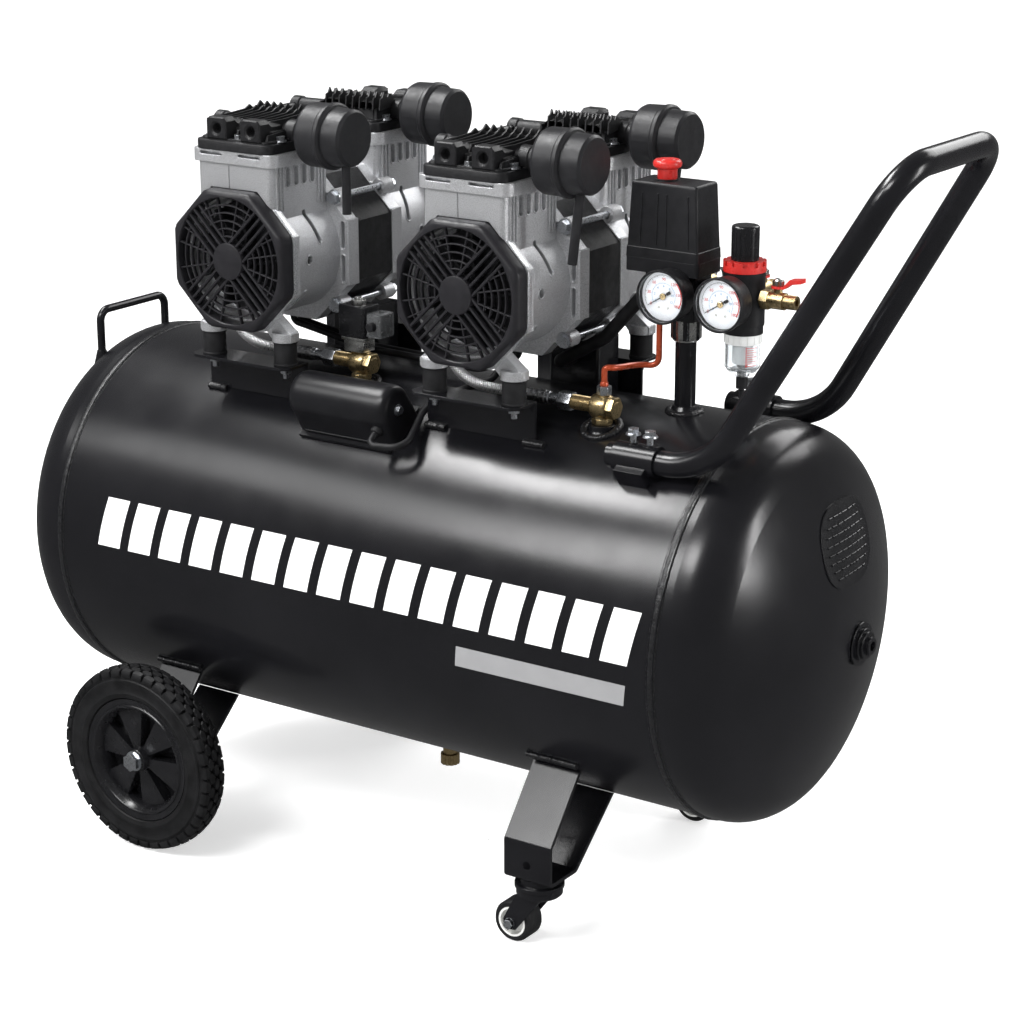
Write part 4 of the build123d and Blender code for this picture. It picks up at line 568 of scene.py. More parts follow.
# ------------------------------------------------------------------ gauges
def text_mesh(text, size, place, mat, name):
    """Small flat figure on a dial."""
    cu = bpy.data.curves.new(name, "FONT")
    cu.body = text
    cu.size = size
    cu.align_x = "CENTER"
    cu.align_y = "CENTER"
    cu.extrude = 0.00002
    cu.resolution_u = 3
    ob = bpy.data.objects.new(name, cu)
    bpy.context.scene.collection.objects.link(ob)
    ob.matrix_world = place
    bpy.context.view_layer.update()
    me = bpy.data.meshes.new_from_object(ob.evaluated_get(bpy.context.evaluated_depsgraph_get()))
    me.transform(place)
    bpy.data.objects.remove(ob)
    dress(name, me, mat, smooth=0)


ZERO_AT = 211            # direction of zero on the dial, in degrees from +X
SWEEP = 242              # from zero to full scale, clockwise


def gauge(gx, tag):
    o = Vector((gx, 0, GAUGE_Z))
    b = Build()
    b.lathe([(0.026, 0.0), (0.026, 0.0225), (0.0275, 0.0238), (0.0425, 0.0241), (0.0438, 0.0243),
             (0.0441, 0.0254),
             (0.0489, 0.0255), (0.0498, 0.0251), (0.05, 0.0245), (0.0498, 0.0238), (0.049, 0.0233),
             (0.0478, 0.0231),
             (0.0421, 0.0231), (0.042, 0.0)], o, (0, -1, 0), 128)
    b.make("gauge_case_" + tag, "moulded", node="gauge_cases", smooth=40)
    d = Build()
    d.lathe([(0.0421, 0.0), (0.0424, 0.0228), (0.0421, 0.0230)], o, (0, -1, 0), 96)
    d.make("dial_face_" + tag, "dial")
    k = Build()
    k.lathe([(0.0424, 0.0016), (0.0458, 0.0016), (0.0464, 0.0012), (0.0466, 0.0)], o, (0, -1, 0), 24)
    k.make("needle_pin_" + tag, "brass")
    y = -0.04245

    def arc(r, w, a0, a1, mat, name, n=40):
        q = Build()
        rows = []
        for rr in (r - w / 2, r + w / 2):
            rows.append([o + Vector((rr * cos(radians(a0 + (a1 - a0) * i / n)), y,
                                     rr * sin(radians(a0 + (a1 - a0) * i / n)))) for i in range(n + 1)])
        q.grid(rows, close_u=False)
        q.make(name, mat, smooth=0)
    arc(0.0187, 0.0011, ZERO_AT - SWEEP, 45, "ink_red", "red_arc_" + tag)
    arc(0.0200, 0.00022, ZERO_AT - SWEEP, ZERO_AT, "ink", "scale_line_" + tag, 90)
    arc(0.0122, 0.00018, ZERO_AT - SWEEP, ZERO_AT, "ink_blue", "inner_scale_" + tag, 90)
    t = Build()
    tb = Build()
    for i in range(61):
        a = radians(ZERO_AT - SWEEP * i / 60)
        long_ = 0.0021 if i % 10 == 0 else (0.0014 if i % 5 == 0 else 0.0009)
        for bb, r0, s, wd in ((t, 0.0200, -1, 0.00013), (tb, 0.0122, 1, 0.0001)):
            r1 = r0 + s * long_ * (1 if s < 0 else 0.7)
            c = Vector((cos(a), 0, sin(a)))
            e = Vector((-sin(a), 0, cos(a))) * wd
            yv = Vector((0, y - 0.00001, 0))
            pts = [o + c * r0 - e + yv, o + c * r0 + e + yv, o + c * r1 + e + yv, o + c * r1 - e + yv]
            n0 = len(bb.v)
            bb.v.extend(pts)
            bb.f.append((n0, n0 + 1, n0 + 2, n0 + 3))
    t.make("scale_ticks_" + tag, "ink", smooth=0)
    tb.make("inner_ticks_" + tag, "ink_blue", smooth=0)
    rot = Matrix.Rotation(radians(90), 4, "X")
    for step, r, size, mat, name in ((30, 0.0158, 0.0040, "ink_red", "dial_number_%s_%d"),
                                     (2, 0.0096, 0.0034, "ink_blue", "dial_small_%s_%d")):
        for i in range(7):
            a = radians(ZERO_AT - SWEEP * i / 6)
            p = o + Vector((r * cos(a), y - 0.00003, r * sin(a)))
            text_mesh(str(step * i), size, Matrix.Translation(p) @ rot, mat, name % (tag, i))
    for sx in (-1, 1):
        s = Build()
        s.lathe([(0.0424, 0.0011), (0.0429, 0.0011), (0.0431, 0.0008), (0.0431, 0.0)],
                o + Vector((sx * 0.0048, 0, -0.0105)), (0, -1, 0), 24)
        s.make("dial_screw_%s_%s" % (tag, "a" if sx < 0 else "b"), "nickel")
    g = Build()
    g.lathe([(0.0486, 0.0), (0.0485, 0.0115), (0.0480, 0.0231), (0.0472, 0.0231), (0.0477, 0.0115),
             (0.0478, 0.0)],
            o, (0, -1, 0), 96)
    g.make("gauge_glass_" + tag, "glass")


gauge(PIPE_X, "1")
gauge(REG_X, "2")


def needle(gx, tag):
    """Pointer with a long thin tip and a broad tail, on its brass hub."""
    b = Build()
    turn = radians(ZERO_AT)
    o = Vector((gx, -0.0432, GAUGE_Z))
    along = Vector((cos(turn), 0, sin(turn)))
    side = Vector((-sin(turn), 0, cos(turn)))
    outline = ((0.0188, 0.0001), (0.0185, 0.0003), (0.002, 0.00055), (0.0, 0.0014), (-0.003, 0.0013),
               (-0.0032, 0.0006),
               (-0.0045, 0.0006), (-0.0046, 0.0015), (-0.0088, 0.0015))
    ring = [(a, h) for a, h in outline] + [(a, -h) for a, h in reversed(outline)]
    rows = [[o + along * a + side * h + Vector((0, dy, 0)) for a, h in ring] for dy in (0.0002, -0.0004)]
    b.grid(rows, cap=True)
    b.make("needle_blade_" + tag, "ink", body="needle_" + tag, node="gauge_needle_" + tag, smooth=0)
    h = Build()
    h.lathe([(0.0434, 0.0016), (0.0434, 0.0027), (0.0438, 0.0030), (0.0448, 0.0030), (0.0452, 0.0026),
             (0.0454, 0.0016)],
            (gx, 0, GAUGE_Z), (0, -1, 0), 32)
    h.make("needle_hub_" + tag, "brass", body="needle_" + tag)


needle(PIPE_X, "1")
needle(REG_X, "2")


# ------------------------------------------------------------------ cylinder heads
def head(px, side, tag):
    """Head with its plate, two ported bosses, sloping webs and thin cooling fins."""
    b = Build()
    cy = 0.085

    def q(lx, ly, lz):
        """Local place; ly is the distance out from the motor, lz the height above its axis."""
        return Vector((px + lx, side * ly, MZ + lz))

    def plate(w, d, r, z0, z1, ease):
        def ring(grow, z):
            return [q(u, v, z) for u, v in rounded(0, cy, w / 2 - r, d / 2 - r, r + grow)]
        b.grid([ring(0, z0), ring(0, z1 - ease), ring(-ease * 0.4, z1 - ease * 0.25), ring(-ease, z1)],
               cap=True)
    plate(0.094, 0.098, 0.011, 0.1064, 0.1158, 0.0012)
    plate(0.086, 0.090, 0.009, 0.1158, 0.1182, 0.001)
    # long ducts behind the two ports, with flared mouths
    for lx, half in ((-0.019, 0.0125), (0.023, 0.0125)):
        mouth = 0.1318

        def ring(g, y, top, bot):
            return [q(lx + f * (half + g), y, z) for f, z in (
                (-1, bot), (1, bot), (1, top - 0.004), (0.72, top), (-0.72, top), (-1, top - 0.004))]
        b.grid([ring(-0.0012, mouth, 0.1372, 0.118), ring(0.0, mouth - 0.0012, 0.1384, 0.117),
                ring(0.0, 0.118, 0.1384, 0.117),
                ring(-0.0012, 0.112, 0.1345, 0.117), ring(-0.0012, 0.05, 0.1345, 0.117)], cap=False)
        # face of the mouth round its bore
        n = 36
        cz = 0.1272

        def bore(r, y):
            return [q(lx + u, y, cz + v) for u, v in circle(r, n)]
        edge = []
        for k in range(n):
            a = 2 * pi * k / n
            dx, dz = cos(a), sin(a)
            t = min((half - 0.0012) / abs(dx) if abs(dx) > 1e-6 else 9,
                    (0.1372 - cz) / dz if dz > 1e-6 else 9, (0.118 - cz) / dz if dz < -1e-6 else 9)
            edge.append(q(lx + t * dx, mouth, cz + t * dz))
        rows = [edge, bore(0.0072, mouth), bore(0.0064, mouth - 0.0009), bore(0.0056, mouth - 0.0012)]
        rows += [bore(0.0056 if i % 2 else 0.0051, mouth - 0.0016 - 0.0007 * i) for i in range(12)]
        b.grid(rows, cap=False)
        base = len(b.v) - n
        b.f.append(tuple(base + k for k in range(n)))
    # web between the ducts and stiffening walls along the sides
    for lx, top, t in ((0.002, 0.1292, 0.0016), (-0.0335, 0.1290, 0.0016), (0.0385, 0.1270, 0.0018)):
        b.grid([[q(lx - t, 0.1265, 0.117), q(lx + t, 0.1265, 0.117), q(lx + t * .6, 0.1240, top - 0.003),
                 q(lx - t * .6, 0.1240, top - 0.003)],
                [q(lx - t, 0.048, 0.117), q(lx + t, 0.048, 0.117), q(lx + t * .6, 0.05, top + 0.002),
                 q(lx - t * .6, 0.05, top + 0.002)]], cap=True)
    b.grid([[q(-0.0335, 0.119, 0.117), q(0.0385, 0.119, 0.117), q(0.0385, 0.116, 0.1262),
             q(-0.0335, 0.116, 0.1262)],
            [q(-0.0335, 0.050, 0.117), q(0.0385, 0.050, 0.117), q(0.0385, 0.052, 0.1275),
             q(-0.0335, 0.052, 0.1275)]], cap=True)
    # fins: thin, leaning across the head, each with a peaked tail
    for k in range(9):
        lx = -0.0325 + 0.0086 * k
        y0 = 0.1135 - 0.0035 * (k % 2)
        lean = 0.010
        pts = [(y0, 0.128), (y0 - 0.0035, 0.1352), (0.094, 0.1362), (0.074, 0.1388), (0.069, 0.1425),
               (0.0655, 0.1392),
               (0.0600, 0.1400), (0.0560, 0.1452), (0.0515, 0.1402), (0.0465, 0.1395), (0.0445, 0.128)]
        t = 0.00085
        n0 = len(b.v)
        for dx in (-t, t):
            b.v.extend(q(lx + dx - lean * (yy - cy) / 0.04, yy, zz) for yy, zz in pts)
        m = len(pts)
        b.f.append(tuple(n0 + j for j in range(m)))
        b.f.append(tuple(n0 + m + j for j in reversed(range(m))))
        for j in range(m):
            b.f.append((n0 + j, n0 + (j + 1) % m, n0 + m + (j + 1) % m, n0 + m + j))
    # boss towards the air filter, and the link boss on the other side
    b.lathe([(0.034, 0.0), (0.034, 0.0125), (0.0475, 0.0122), (0.0485, 0.0112), (0.0498, 0.0112),
             (0.0498, 0.0)],
            q(0, cy, 0.1229), (1, 0, 0), 48)
    b.lathe([(0.020, 0.0), (0.020, 0.0085), (0.064, 0.0082), (0.0655, 0.0095), (0.0745, 0.0095),
             (0.0765, 0.0078), (0.0765, 0.0)],
            q(0, 0.061, 0.1229), (-1, 0, 0), 48)
    # bolt pads
    for lx, ly in ((0.002, 0.122), (0.002, 0.048), (0.041, 0.108), (0.041, 0.062), (-0.041, 0.112),
                   (-0.041, 0.084)):
        b.lathe([(0.115, 0.0), (0.1160, 0.0066), (0.1164, 0.0062), (0.1164, 0.0)], q(lx, ly, 0), (0, 0, 1),
                24)
    b.make("head_" + tag, "head", node="cylinder_heads", smooth=30)


for px, side, tag in PUMP_ENDS:
    head(px, side, tag)


# ------------------------------------------------------------------ pressure switch cover
def switch_cover():
    b = Build()
    cx, cy = TX + 0.261, -0.0025

    def loop(z, w, d, r):
        return [Vector((u, v, z)) for u, v in rounded(cx, cy, w / 2 - r, d / 2 - r, r, 6)]

    def size(z):
        f = (z - 0.645) / 0.071
        return 0.078 - 0.007 * f, 0.045 - 0.004 * f
    rows = [loop(0.645, *size(0.645), 0.003), loop(0.6545, *size(0.6545), 0.003)]
    w, d = size(0.6552)
    rows += [loop(0.6552, w - 0.0012, d - 0.0012, 0.0025)]
    w, d = size(0.713)
    rows += [loop(0.713, w - 0.0012, d - 0.0012, 0.0025), loop(0.7148, w - 0.0022, d - 0.0022, 0.0025),
             loop(0.7158, w - 0.0045, d - 0.0045, 0.002), loop(0.716, w - 0.007, d - 0.007, 0.0015)]
    b.grid(rows)
    n = len(rows[0])
    top = [Vector((SWITCH_X + 0.0118 * cos(radians(45 + 360 * k / n)),
                   cy + 0.0118 * sin(radians(45 + 360 * k / n)), 0.716)) for k in range(n)]
    b.grid([rows[-1], top, [p + Vector((0, 0, 0.0016)) for p in top],
            [Vector((SWITCH_X, cy, 0.7176)) + (p - Vector((SWITCH_X, cy, 0.716))) * 0.86 for p in top],
            [Vector((SWITCH_X, cy, 0.712)) + (p - Vector((SWITCH_X, cy, 0.716))) * 0.86 for p in top]])
    # upright ribs on the faces
    for side in (-1, 1):
        for fx in (-0.024, -0.006, 0.004, 0.0285):
            pts = []
            for z in (0.658, 0.706):
                wz, dz = size(z)
                pts.append(Vector((cx + fx * (wz / 0.078), cy + side * (dz / 2 - 0.0004), z)))
            b.sweep(pts, round_section(0.0011, 0.0009, 0.0003, 2), up=(0, side, 0))
    b.make("switch_cover_shell", "moulded", node="switch_cover", smooth=38)


switch_cover()


def switch_knob():
    b = Build()
    b.lathe([(0.69, 0.0), (0.69, 0.0088), (0.7165, 0.0088), (0.719, 0.0093), (0.7245, 0.0093),
             (0.7268, 0.0098),
             (0.7281, 0.0125), (0.7292, 0.0133), (0.7318, 0.0135), (0.7338, 0.0128), (0.7349, 0.0112),
             (0.7353, 0.009),
             (0.7349, 0.0068), (0.7355, 0.0062), (0.736, 0.0)], (SWITCH_X, -0.0025, 0), (0, 0, 1), 72)
    b.make("stop_knob", "red", body="switch_knob", node="switch_knob", smooth=40)


switch_knob()


# ------------------------------------------------------------------ braided hoses
def braided(points, radius, name):
    path, length = smooth_path(points, 420)
    fr = moving_frames(path)
    core = Build()
    core.grid([[p + s * c + u * d for c, d in circle(radius - 0.0009, 20)] for p, (s, u) in zip(path, fr)],
              cap=True)
    core.make(name + "_core", "dark", node="braided_hoses")
    b = Build()
    strands = 8
    pitch = 0.020
    wide = 0.00125
    for way in (-1, 1):
        for k in range(strands):
            rows = []
            for i, (p, (s, u)) in enumerate(zip(path, fr)):
                d = length * i / (len(path) - 1)
                a = 2 * pi * k / strands + way * 2 * pi * d / pitch
                cross = cos(2 * pi * d / pitch * strands + pi * k) * way
                r = radius - 0.0005 + 0.0004 * cross
                row = []
                for off, dr in ((-1, -0.00018), (-0.5, 0.00005), (0.5, 0.00005), (1, -0.00018)):
                    aa = a + off * wide / radius
                    row.append(p + s * ((r + dr) * cos(aa)) + u * ((r + dr) * sin(aa)))
                rows.append(row)
            b.grid(rows, close_u=False)
    b.make(name, "braid", node="braided_hoses", smooth=60)


CHECKS = ((TX - 0.062, -0.060, 0.511), (TX + 0.222, -0.062, 0.508))
TAILS = (-0.060, -0.062)
for i, (px, (cx, cy, cz), tail) in enumerate(zip(PUMPS, CHECKS, TAILS), 1):
    x0 = px - 0.070
    end = cx + tail - 0.0003
    braided([(x0, cy, 0.7307), (x0, cy, 0.619), (x0, cy, cz), (x0 + 0.109, cy, cz), (end, cy, cz)],
            0.0054, "braided_hose_%d" % i)
    f = Build()
    f.lathe([(0.0, 0.0), (0.0, 0.0062), (0.001, 0.0068), (0.006, 0.0068), (0.0068, 0.0063), (0.0076, 0.0068),
             (0.0126, 0.0068), (0.0134, 0.0063), (0.0142, 0.0068), (0.0185, 0.0067), (0.0195, 0.0058),
             (0.0195, 0.0)],
            (end - 0.0185, cy, cz), (1, 0, 0), 48)
    f.lathe([(0.0, 0.0), (0.0, 0.0062), (0.001, 0.0068), (0.014, 0.0068), (0.015, 0.006), (0.015, 0.0)],
            (x0, cy, 0.7307 - 0.015), (0, 0, 1), 48)
    f.make("hose_ferrules_%d" % i, "steel")


# ------------------------------------------------------------------ welds
def weld(path, radius, name, closed=False, up=(0, 0, 1)):
    """Bead of overlapping ripples along a path of points."""
    dense = []
    n = len(path)
    spans = n if closed else n - 1
    for i in range(spans):
        a = Vector(path[i])
        c = Vector(path[(i + 1) % n])
        steps = max(2, int((c - a).length / 0.0011))
        dense += [a.lerp(c, k / steps) for k in range(steps)]
    if not closed:
        dense.append(Vector(path[-1]))
    b = Build()
    rows = []
    m = len(dense)
    run = 0.0
    for i in range(m):
        a = dense[(i - 1) % m] if closed or i else dense[0]
        c = dense[(i + 1) % m] if closed or i < m - 1 else dense[-1]
        t = (c - a).normalized()
        s = t.cross(Vector(up)).normalized()
        u = s.cross(t)
        run += 0.0011
        r = radius * (1 + 0.16 * abs(sin(run * 1000 * 0.95)) + random.uniform(-0.07, 0.07))
        w = random.uniform(-0.08, 0.08) * radius
        rows.append([dense[i] + s * (r * cos(2 * pi * k / 10) + w) + u * (r * 0.72 * sin(2 * pi * k / 10))
                     for k in range(10)])
    b.grid(rows, cap=not closed, close_v=closed)
    b.make(name, "weld", smooth=50)


def on_tank(x, y, lift=0.0):
    """Point on top of the rolled shell at (x, y)."""
    return Vector((x, y, TZ + sqrt((TR + lift) ** 2 - y * y)))


def around(cx, cy, r, n=28, lift=0.0005):
    return [on_tank(cx + u, cy + v, lift) for u, v in circle(r, n)]


weld(around(PIPE_X, 0, 0.0150), 0.0034, "weld_pipe", closed=True)
for i, (cx, cy, cz) in enumerate(CHECKS, 1):
    weld(around(cx, cy, 0.0165), 0.0036, "weld_boss_%d" % i, closed=True)


for tag, x in (("left", TX - 0.357), ("right", TX + 0.357)):
    b = Build()
    rows = []
    n = 720
    for k in range(n):
        a = 2 * pi * k / n
        rip = 0.00022 * abs(sin(k * 0.42)) + random.uniform(-0.00008, 0.00008)
        wob = random.uniform(-0.0002, 0.0002)
        row = []
        for dx, dr in ((-0.0052, -0.0006), (-0.0040, 0.0006), (-0.0020, 0.0014), (0, 0.0017),
                       (0.0020, 0.0014), (0.0040, 0.0006), (0.0052, -0.0006)):
            rr = TR + dr + (rip if abs(dx) < 0.0041 else 0)
            row.append(Vector((x + dx + wob, rr * cos(a), TZ + rr * sin(a))))
        rows.append(row)
    b.grid(rows, close_u=False, close_v=True)
    b.make("seam_weld_" + tag, "weld", smooth=60)

# blobs where the angle brackets meet the tank, front and back
for i, px in enumerate(PUMPS, 1):
    for side in (-1, 1):
        for k, x in enumerate((px - 0.066, px + 0.047)):
            p = [on_tank(x + 0.0045 * j, side * 0.0985, 0.0012) for j in range(6)]
            weld(p, 0.0042, "weld_angle_%d_%d_%s" % (i, k, "front" if side < 0 else "rear"))
for side in (-1, 1):
    for tag, bx in (("axle", WHEEL_X), ("caster", CASTER_X)):
        y = 0.148
        z = TZ - sqrt(TR ** 2 - y * y)
        weld([Vector((bx - 0.028 + 0.0056 * j, side * (y + 0.0015), z - 0.0006)) for j in range(11)], 0.0034,
             "weld_strap_%s_%s" % (tag, "front" if side < 0 else "rear"), up=(0, side, -1))


# ------------------------------------------------------------------ castings: rims and bright edges
def slot_path(cy, cz, length, width, turn, n=9):
    """Outline of a round-ended slot in a flat plane, as (y, z) pairs."""
    r = width / 2
    half = length / 2 - r
    pts = []
    for end, a0 in ((1, -90), (-1, 90)):
        for k in range(n):
            a = radians(a0 + 180 * k / (n - 1))
            pts.append((end * half + r * cos(a), r * sin(a)))
    c, s_ = cos(radians(turn)), sin(radians(turn))
    return [(cy + u * c - v * s_, cz + u * s_ + v * c) for u, v in pts]


def casting_details(px, side, tag):
    b = Build()
    sec = circle(0.0009, 8)
    for sx in (-1, 1):
        for cy, cz, ln, wd, turn in ((-0.077, 0.030, 0.034, 0.005, 104), (-0.093, -0.042, 0.020, 0.0045, 60),
                                     (-0.093, 0.0, 0.008, 0.008, 0)):
            path = []
            for y, z in slot_path(cy, cz, ln + 0.0022, wd + 0.0022, turn):
                path.append(Vector((px + sx * (sqrt(0.062 ** 2 - z * z) + 0.0001), -side * y, MZ + z)))
            b.sweep(path, sec, closed=True, up=(sx, 0, 0))
        for k in range(4):
            y = -0.085 + 0.0125 * (k - 1.5)
            path = [Vector((px + sx * 0.0461, -side * yy, MZ + zz)) for yy,
                    zz in slot_path(y, 0.082, 0.0206, 0.0082, 90)]
            b.sweep(path, sec, closed=True, up=(sx, 0, 0))
        for z in (-0.017, 0.017):
            path = [Vector((px + xx, side * 0.0441, MZ + zz)) for xx,
                    zz in slot_path(sx * 0.066, z, 0.0298, 0.0066, 90)]
            b.sweep(path, sec, closed=True, up=(0, side, 0))
    # seam left by the two halves of the mould, down the block's front
    b.sweep([Vector((px - 0.006, side * 0.1302, MZ + z)) for z in (0.066, 0.093)],
            [(0.0006, 0), (0, 0.0006), (-0.0006, 0)],
            up=(0, side, 0))
    b.make("casting_rims_" + tag, "cast", smooth=50)
    e = Build()
    seg = 160
    rows = []
    for y, f in ((0.1215, 0.1402), (0.1258, 0.1408), (0.1270, 0.1402), (0.1272, 0.1384)):
        row = []
        for k in range(seg):
            a = 2 * pi * k / seg
            r = octagon_radius(a, f, 0.0012)
            row.append(Vector((px + r * sin(a), side * y, MZ + r * cos(a))))
        rows.append(row)
    e.grid(rows)
    e.make("casting_edge_" + tag, "rim_edge", smooth=40)


for px, side, tag in PUMP_ENDS:
    casting_details(px, side, tag)


# ------------------------------------------------------------------ hexagons and threads
def hexagon(b, center, axis, flats, length, ease=0.0006, twist=0.0):
    """Hexagon bar from a centre point along an axis, with turned-down corners at both ends."""
    x, y, z = frame_for(axis)
    o = Vector(center)
    rows = []
    for d, f in ((0.0, 0.93), (ease, 1.0), (length - ease, 1.0), (length, 0.93)):
        row = []
        for k in range(36):
            a = 2 * pi * k / 36
            step = pi / 3
            rel = (a + twist + step / 2) % step - step / 2
            r = min(flats / 2 / cos(rel), flats / 2 / cos(step / 2) * (1.0 if f == 1.0 else 0.955))
            r *= 1.0 if f == 1.0 else 0.985
            row.append(o + z * d + x * (r * cos(a)) + y * (r * sin(a)))
        rows.append(row)
    b.grid(rows, cap=True)


def thread(b, start, axis, radius, length, pitch=0.0012):
    n = int(length / pitch * 2)
    b.lathe([(0.0, 0.0)] + [(length * k / n, radius - (0.0005 if k % 2 else 0.0)) for k in range(n + 1)]
            + [(length, 0.0)],
            start, axis, 40)


def check_valve(n):
    cx, cy, cz = CHECKS[n]
    tail, nut = TAILS[n], (-0.044, -0.046)[n]
    z = Build()
    hexagon(z, (cx + nut, cy, cz), (1, 0, 0), 0.0162, 0.0142)
    z.lathe([(0.0, 0.0), (0.0, 0.0062), (0.0035, 0.0062), (0.0045, 0.0052), (nut - tail, 0.0052),
             (nut - tail, 0.0)],
            (cx + tail, cy, cz), (1, 0, 0), 40)
    b = Build()
    thread(b, (cx + nut + 0.014, cy, cz), (1, 0, 0), 0.0072, -nut - 0.014 - 0.0098)
    b.lathe([(-0.0100, 0.0), (-0.0100, 0.0092), (-0.0088, 0.0108), (-0.0070, 0.0117), (0.0060, 0.0117),
             (0.0080, 0.0112),
             (0.0091, 0.0100), (0.0091, 0.0)], (cx, cy, cz), (1, 0, 0), 64)
    hexagon(b, (cx + 0.0088, cy, cz), (1, 0, 0), 0.0192, 0.0072, ease=0.0012)
    for k in range(5):
        a = radians(52 + 19 * k)
        b.lathe([(0.0, 0.0), (0.0, 0.0009), (0.0005, 0.0006), (0.0005, 0.0)],
                (cx + 0.0160, cy + 0.0055 * cos(a), cz + 0.0055 * sin(a)), (1, 0, 0), 10)
    b.lathe([(0.0, 0.0), (0.0, 0.0087), (-0.0020, 0.0089), (-0.0022, 0.0082), (-0.0120, 0.0086),
             (-0.0120, 0.0)],
            (cx, cy, cz - 0.001), (0, 0, 1), 48)
    hexagon(b, (cx, cy, cz - 0.0167), (0, 0, 1), 0.0172, 0.0052)
    if n == 1:
        hexagon(z, (cx + 0.002, cy, cz + 0.0120), (0, 0, 1), 0.0122, 0.0083)
        thread(b, (cx + 0.002, cy, cz + 0.006), (0, 0, 1), 0.0052, 0.0062)
    b.make("check_valve_body_%d" % (n + 1), "brass", node="check_valves", smooth=35)
    z.make("check_valve_nut_%d" % (n + 1), "zinc", node="check_valves", smooth=35)


check_valve(0)
check_valve(1)


# ------------------------------------------------------------------ solenoid valve
def round_box(b, lo, hi, r=0.003, ease=0.001, taper=0.0):
    """Upright box with rounded corners and eased top and bottom edges."""
    (x0, y0, z0), (x1, y1, z1) = lo, hi
    cx, cy = (x0 + x1) / 2, (y0 + y1) / 2

    def ring(grow, z):
        w, d = (x1 - x0) / 2 + grow, (y1 - y0) / 2 + grow
        rr = max(r + grow, 0.0003)
        return [Vector((u, v, z)) for u, v in rounded(cx, cy, w - rr, d - rr, rr)]
    b.grid([ring(-ease, z0), ring(-ease * 0.3, z0 + ease * 0.3), ring(0, z0 + ease), ring(-taper, z1 - ease),
            ring(-taper - ease * 0.3, z1 - ease * 0.3), ring(-taper - ease, z1)], cap=True)


def solenoid():
    cx, cy, cz = CHECKS[0]
    coil = Build()
    round_box(coil, (cx - 0.0185, cy - 0.0135, cz + 0.0268), (cx + 0.0145, cy + 0.0135, cz + 0.0588),
              r=0.0035, ease=0.0016)
    round_box(coil, (cx - 0.0155, cy - 0.0138, cz + 0.0330), (cx + 0.0115, cy - 0.0128, cz + 0.0525),
              r=0.0003, ease=0.0004)
    coil.make("solenoid_coil", "gloss", node="solenoid_valve", smooth=35)
    n = Build()
    round_box(n, (cx - 0.014, cy - 0.010, cz + 0.0118), (cx + 0.010, cy + 0.010, cz + 0.0268), r=0.0015,
              ease=0.0006)
    round_box(n, (cx - 0.0165, cy - 0.0115, cz + 0.0236), (cx + 0.0125, cy + 0.0115, cz + 0.0268), r=0.002,
              ease=0.0004)
    hexagon(n, (cx - 0.002, cy, cz + 0.0588), (0, 0, 1), 0.013, 0.0042)
    n.lathe([(0.0, 0.0), (0.0, 0.0042), (0.0020, 0.0042), (0.0026, 0.0036), (0.0026, 0.0)],
            (cx - 0.002, cy, cz + 0.063), (0, 0, 1), 32)
    n.make("solenoid_block", "nickel", node="solenoid_valve", smooth=35)
    c = Build()
    round_box(c, (cx + 0.0147, cy - 0.012, cz + 0.0290), (cx + 0.0335, cy + 0.012, cz + 0.0530), r=0.0035,
              ease=0.0016)
    c.make("solenoid_plug", "connector", node="solenoid_valve", smooth=35)
    i = Build()
    round_box(i, (cx + 0.0160, cy - 0.008, cz + 0.0310), (cx + 0.0290, cy + 0.008, cz + 0.0480), r=0.002,
              ease=0.001)
    i.make("solenoid_plug_core", "moulded", node="solenoid_valve", smooth=35)
    w = Build()
    w.lathe([(0.0, 0.0), (0.0, 0.0045), (0.006, 0.0045), (0.0068, 0.0038), (0.0068, 0.0)],
            (cx + 0.024, cy - 0.0119, cz + 0.041), (0, -1, 0), 24)
    w.make("solenoid_gland", "moulded", slot="solenoid_valve", smooth=35)


solenoid()


# ------------------------------------------------------------------ copper line and link pipes
def round_tube(b, path, radius, seg=20):
    b.sweep(path, circle(radius, seg), up=(0.13, 0.97, 0.2))


def air_lines():
    cx, cy, cz = CHECKS[1]
    top = SWITCH_X
    line = [(cx + 0.002, cy, cz + 0.0203), (cx + 0.002, cy, cz + 0.030), (cx + 0.002, cy, cz + 0.038),
            (cx + 0.010, cy + 0.006, cz + 0.037), (top - 0.018, -0.021, cz + 0.034),
            (top, -0.012, cz + 0.033),
            (top, -0.012, cz + 0.052), (top, -0.012, cz + 0.085), (top, -0.012, 0.6317)]
    path, _ = smooth_path(line, 140)
    b = Build()
    round_tube(b, path, 0.0029)
    b.lathe([(0.0, 0.0028), (0.0002, 0.0040), (0.0032, 0.0038), (0.0042, 0.0029)],
            (cx + 0.002, cy, cz + 0.0203), (0, 0, 1), 24)
    b.make("unloader_tube", "copper", node="air_tubes", smooth=50)
    k = Build()
    for px in PUMPS:
        x, z = px - 0.070, MZ + 0.1229
        round_tube(k, [Vector((x, y, z)) for y in (-0.0535, -0.03, 0.0, 0.03, 0.0535)], 0.0038)
        for sy in (-1, 1):
            k.lathe([(0.0, 0.0039), (0.0, 0.0040), (0.003, 0.0040), (0.004, 0.0038)], (x, sy * 0.0495, z),
                    (0, sy, 0), 24)
    k.make("link_pipes", "paint", node="air_tubes", smooth=50)


air_lines()


